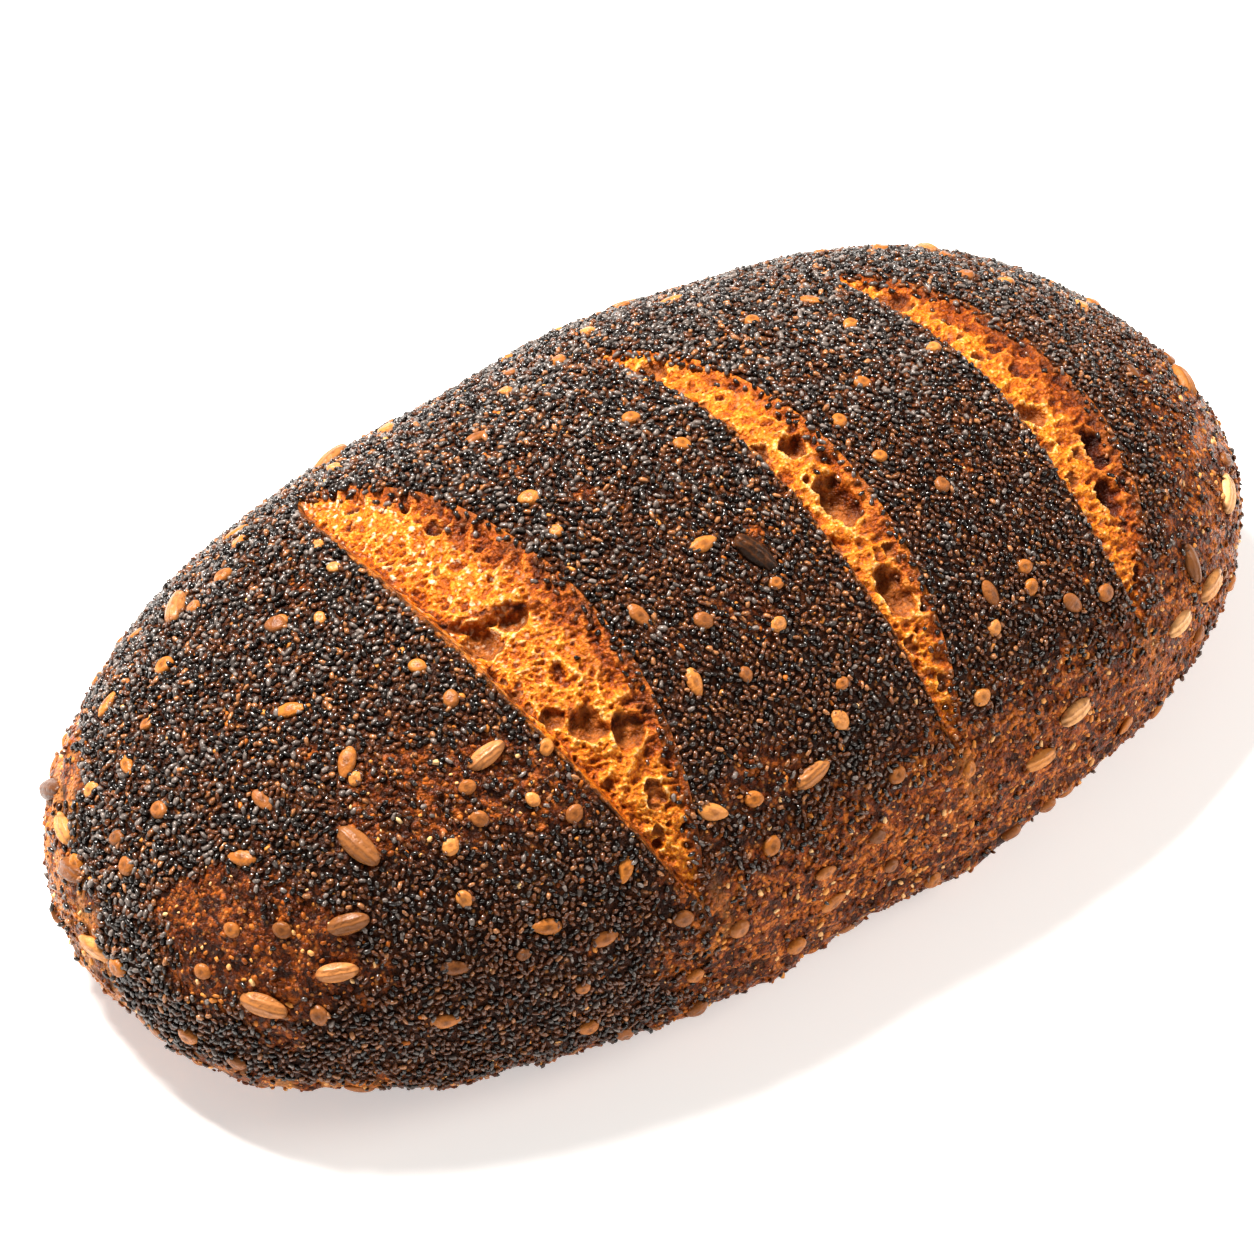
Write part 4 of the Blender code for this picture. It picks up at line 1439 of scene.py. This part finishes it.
def crumb_material():
    """Torn crumb: golden, with painted highlights on its crests, painted shade in its pores and hollows,
    and painted glints, toasted at the right and dark at the lips.
    """
    n = Nodes("torn_rye_crumb")
    cloud = n.noise(0.004, 4, 0.6)
    grain = n.noise(0.0005, 3, 0.6)
    beads = n.cells(0.00085)
    # Each bead and the fine grain are painted paler where the bump rises and darker where it sinks: painted
    # light and shade.
    bead_light_and_shade = n.between(beads, 0.15, 0.60, 0.16, -0.20)
    fine_light_and_shade = n.math("ADD", n.between(grain, 0.3, 0.7, -0.18, 0.18), bead_light_and_shade)
    relief_shade = n.math("ADD", n.number("relief_shade"), fine_light_and_shade, clamp=True)
    # The golden colours run from painted shade in the deepest pores to a painted highlight on the palest
    # crests.
    gold = n.ramp(
        relief_shade,
        (0.0, (0.110, 0.015, 0.001)),
        (0.28, (0.390, 0.076, 0.004)),
        (0.56, (0.650, 0.182, 0.007)),
        (0.78, (0.770, 0.310, 0.028)),
        (1.0, (0.910, 0.560, 0.230)),
    )
    colour = n.blend(n.between(cloud, 0.40, 0.72, 0, 0.45), gold, (0.460, 0.100, 0.006))
    # Small near-white spots painted over the crumb, most at the back of the left cut: painted glints.
    glint_spots = n.between(n.lumps(0.0015)[0], 0.40, 0.20, 0, 0.9)
    painted_glints = n.math("MULTIPLY", glint_spots, n.between(n.noise(0.0050, 2), 0.42, 0.55))
    colour = n.blend(n.math("MULTIPLY", painted_glints, n.number("painted_glints")), colour, (0.940, 0.760, 0.520))
    # Inside hollows and bubbles the crumb turns a darker brown: partly the smooth film's own colour, partly
    # painted shade.
    film_and_shade = n.ramp(n.noise(0.0016, 3), (0.35, (0.110, 0.026, 0.004)), (0.65, (0.420, 0.140, 0.028)))
    colour = n.blend(n.math("MULTIPLY", n.number("film_and_shade"), 0.6), colour, film_and_shade)
    # The toasted and burnt colours follow the same painted light and shade.
    caramel = n.ramp(
        relief_shade,
        (0.05, (0.060, 0.009, 0.002)),
        (0.55, (0.290, 0.052, 0.003)),
        (1.0, (0.640, 0.180, 0.020)),
    )
    burnt = n.ramp(relief_shade, (0.2, (0.012, 0.003, 0.002)), (0.9, (0.190, 0.045, 0.008)))
    lip = n.ramp(
        n.noise(0.0013, 4, 0.7),
        (0.36, (0.060, 0.012, 0.003)),
        (0.50, (0.290, 0.062, 0.006)),
        (0.66, (0.600, 0.190, 0.022)),
    )
    toast = n.math("ADD", n.number("toast"), n.between(grain, 0.3, 0.7, -0.12, 0.12), clamp=True)
    colour = n.blend(n.between(toast, 0.05, 0.50), colour, caramel)
    colour = n.blend(n.between(toast, 0.72, 1.08), colour, burnt)
    colour = n.blend(n.between(n.number("rim"), 0.15, 0.85, 0, 0.9), colour, lip)
    outer_rim = n.between(n.number("rim"), 0.58, 0.88, 0, 0.9)
    dark_line = n.math("MULTIPLY", outer_rim, n.between(n.noise(0.0022, 3), 0.40, 0.56))
    colour = n.blend(dark_line, colour, (0.035, 0.010, 0.003))
    height = n.math("SUBTRACT", grain, n.math("MULTIPLY", beads, 0.7))
    roughness = n.between(grain, 0.3, 0.7, 0.16, 0.38)
    return n.finish(colour, roughness, height, 0.00050, Specular_IOR_Level=0.14)


def poppy_material(name, dark, pale):
    """Poppy seeds of one colour, each of its own tint, with a soft gloss."""
    n = Nodes(f"poppy_{name}")
    bloom = n.noise(0.0005, 2)
    tint = n.math("ADD", n.number("tint"), n.between(bloom, 0.35, 0.65, -0.25, 0.25), clamp=True)
    colour = n.ramp(tint, (0.0, dark), (1.0, pale))
    roughness = n.between(bloom, 0.3, 0.7, 0.12, 0.30)
    return n.finish(colour, roughness, bloom, 0.00006, Specular_IOR_Level=0.50)


def round_seed_material():
    """Toasted pale seeds: tan, with a lighter rim and the dent in their middle darkened brown as painted
    shade.
    """
    n = Nodes("toasted_round_seed")
    cloud = n.noise(0.0012, 3)
    body = n.ramp(
        n.number("tint"),
        (0.0, (0.060, 0.020, 0.007)),
        (0.16, (0.300, 0.100, 0.024)),
        (0.5, (0.450, 0.145, 0.021)),
        (1.0, (0.640, 0.260, 0.068)),
    )
    near_middle = n.between(n.number("reach"), 0.42, 0.12, 0, 0.95)
    # The dent in the middle is darkened: painted shade, less on the palest seeds.
    dent_shade = n.math("MULTIPLY", near_middle, n.between(n.number("tint"), 1.0, 0.6, 0.35, 1))
    colour = n.blend(dent_shade, body, (0.050, 0.015, 0.005))
    colour = n.blend(n.between(cloud, 0.50, 0.66, 0, 0.55), colour, (0.200, 0.060, 0.014))
    roughness = n.between(cloud, 0.3, 0.7, 0.24, 0.42)
    return n.finish(colour, roughness, cloud, 0.00040, Specular_IOR_Level=0.18)


def kernel_material(name, dark, middle, pale, stripes):
    """Kernels and oats: toasted, with fine lines along their length and browner tips."""
    n = Nodes(name)
    cloud = n.noise(0.0016, 4)
    wavy = n.math("ADD", n.math("MULTIPLY", n.number("side"), stripes), n.math("MULTIPLY", cloud, 5.0))
    lines = n.math("SINE", wavy)
    body = n.ramp(n.number("tint"), (0.0, (0.020, 0.009, 0.005)), (0.15, dark), (0.5, middle), (1.0, pale))
    colour = n.blend(n.between(lines, 0.2, 1.0, 0, 0.35), body, (0.110, 0.034, 0.009))
    tips = n.between(n.math("ABSOLUTE", n.number("length")), 0.36, 0.50, 0, 0.6)
    colour = n.blend(tips, colour, (0.110, 0.034, 0.009))
    colour = n.blend(n.between(cloud, 0.52, 0.70, 0, 0.6), colour, (0.160, 0.050, 0.012))
    height = n.math("ADD", cloud, n.math("MULTIPLY", lines, 0.15))
    roughness = n.between(cloud, 0.3, 0.7, 0.24, 0.42)
    return n.finish(colour, roughness, height, 0.00040, Specular_IOR_Level=0.18)


def grain_material():
    """Bran and broken grain baked into the crust, orange to brown."""
    n = Nodes("baked_bran")
    colour = n.ramp(
        n.number("tint"),
        (0.0, (0.024, 0.006, 0.002)),
        (0.42, (0.140, 0.028, 0.004)),
        (0.72, (0.420, 0.115, 0.015)),
        (0.90, (0.680, 0.270, 0.055)),
        (1.0, (0.840, 0.540, 0.250)),
    )
    return n.finish(colour, 0.28, Specular_IOR_Level=0.15)


def add_light(name, towards, distance, size, power, colour=(1, 1, 1)):
    """A soft square light in this direction from the loaf, facing it."""
    data = bpy.data.lights.new(name, "AREA")
    data.size = size
    data.energy = power
    data.color = colour
    lamp = bpy.data.objects.new(name, data)
    way = Vector(towards).normalized()
    lamp.location = LIGHT_AIM + way * distance
    lamp.rotation_euler = way.to_track_quat("Z", "Y").to_euler()
    bpy.context.scene.collection.objects.link(lamp)


def studio():
    """A pale floor and sky, a key light from behind and above, and a soft fill from the right and front."""
    mesh = bpy.data.meshes.new("floor")
    corners = [(x * FLOOR_REACH, y * FLOOR_REACH, 0) for x, y in ((-1, -1), (1, -1), (1, 1), (-1, 1))]
    mesh.from_pydata(corners, [], [(0, 1, 2, 3)])
    floor_nodes = Nodes("pale_floor")
    mesh.materials.append(floor_nodes.finish((0.86, 0.86, 0.86), 0.8, Emission_Strength=0.46))
    floor = bpy.data.objects.new("floor", mesh)
    bpy.context.scene.collection.objects.link(floor)
    world = bpy.data.worlds.new("pale_sky")
    world.use_nodes = True
    sky = world.node_tree.nodes["Background"]
    sky.inputs["Color"].default_value = (1.0, 0.96, 0.91, 1)
    sky.inputs["Strength"].default_value = 0.28
    bpy.context.scene.world = world
    add_light("key", (-0.20, 0.62, 1.25), 1.1, 0.28, 39.0, (1.0, 0.95, 0.89))
    add_light("fill", (1.0, -0.8, 0.7), 1.3, 0.6, 9.5, (1.0, 0.89, 0.79))


def photo_camera():
    """The camera at the photograph's angle and distance, moved aside without turning it."""
    az, el = CAMERA_AZIMUTH, CAMERA_ELEVATION
    back = Vector((math.sin(az) * math.cos(el), -math.cos(az) * math.cos(el), math.sin(el)))
    right = Vector((math.cos(az), math.sin(az), 0))
    up = back.cross(right)
    data = bpy.data.cameras.new("camera")
    data.lens = CAMERA_LENS
    data.sensor_width = CAMERA_SENSOR
    camera = bpy.data.objects.new("camera", data)
    camera.location = CAMERA_AIM + back * CAMERA_DISTANCE + right * CAMERA_RIGHT + up * CAMERA_UP
    camera.rotation_euler = back.to_track_quat("Z", "Y").to_euler()
    bpy.context.scene.collection.objects.link(camera)
    bpy.context.scene.camera = camera


def score_glow(points):
    """How golden the crust is: along the thin scores past each cut, and in patches round the left end."""
    x, y, z = points.T / MM
    glow = np.zeros(len(points))
    broken = smooth_step(-0.7, 0.8, waves(points, 0.0045, 28))
    for reach, share_of_gold, tail in SCORE_TAILS:
        for (ax, ay), (bx, by) in zip(tail, tail[1:]):
            run = np.array([bx - ax, by - ay])
            share = np.clip(((x - ax) * run[0] + (y - ay) * run[1]) / (run @ run), 0, 1)
            away = np.hypot(x - ax - share * run[0], y - ay - share * run[1])
            on_crown = z > BELLY_HEIGHT / MM
            glow = np.maximum(glow, share_of_gold * broken * bump_at(away, 0, reach) * on_crown)
    rim = smooth_step(-100, -116, x) * smooth_step(2, -4, z - left_line(y)) * smooth_step(50, 40, y)
    return np.maximum(glow, 0.55 * rim * smooth_step(-0.6, 0.6, waves(points, 0.006, 27)))


def build():
    """The crust and what lies in and on it, then the studio and the camera."""
    smooth, points, faces = crust_points()
    numbers = {
        "light": lightness(smooth),
        "bare": bareness(smooth),
        "glow": score_glow(smooth),
        "crease": foot_crease(smooth),
    }
    crust = mesh_piece("crust", points, faces, crust_material(), "crust", **numbers)
    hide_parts("loaf")
    crumb = crumb_material()
    names = ("crumb_left", "crumb_middle", "crumb_right")
    crumbs = [crumb_piece(cut, number, names[number], crumb) for number, cut in enumerate(CUTS)]
    round_seed = round_seed_material()
    large = add_large_seeds(
        {
            "round_seeds": round_seed,
            "linseeds": round_seed,
            "sunflower_kernels": kernel_material("toasted_kernel", *KERNEL_COLOURS),
            "oats": kernel_material("toasted_oat", *OAT_COLOURS),
        }
    )
    poppy = {name: poppy_material(name, dark, pale) for name, _, dark, pale in POPPY_KINDS}
    add_poppy((smooth, faces), crumbs, large, poppy)
    add_grains((smooth, faces), large, grain_material())
    studio()
    photo_camera()


build()
bpy.context.scene.view_settings.view_transform = "Standard"
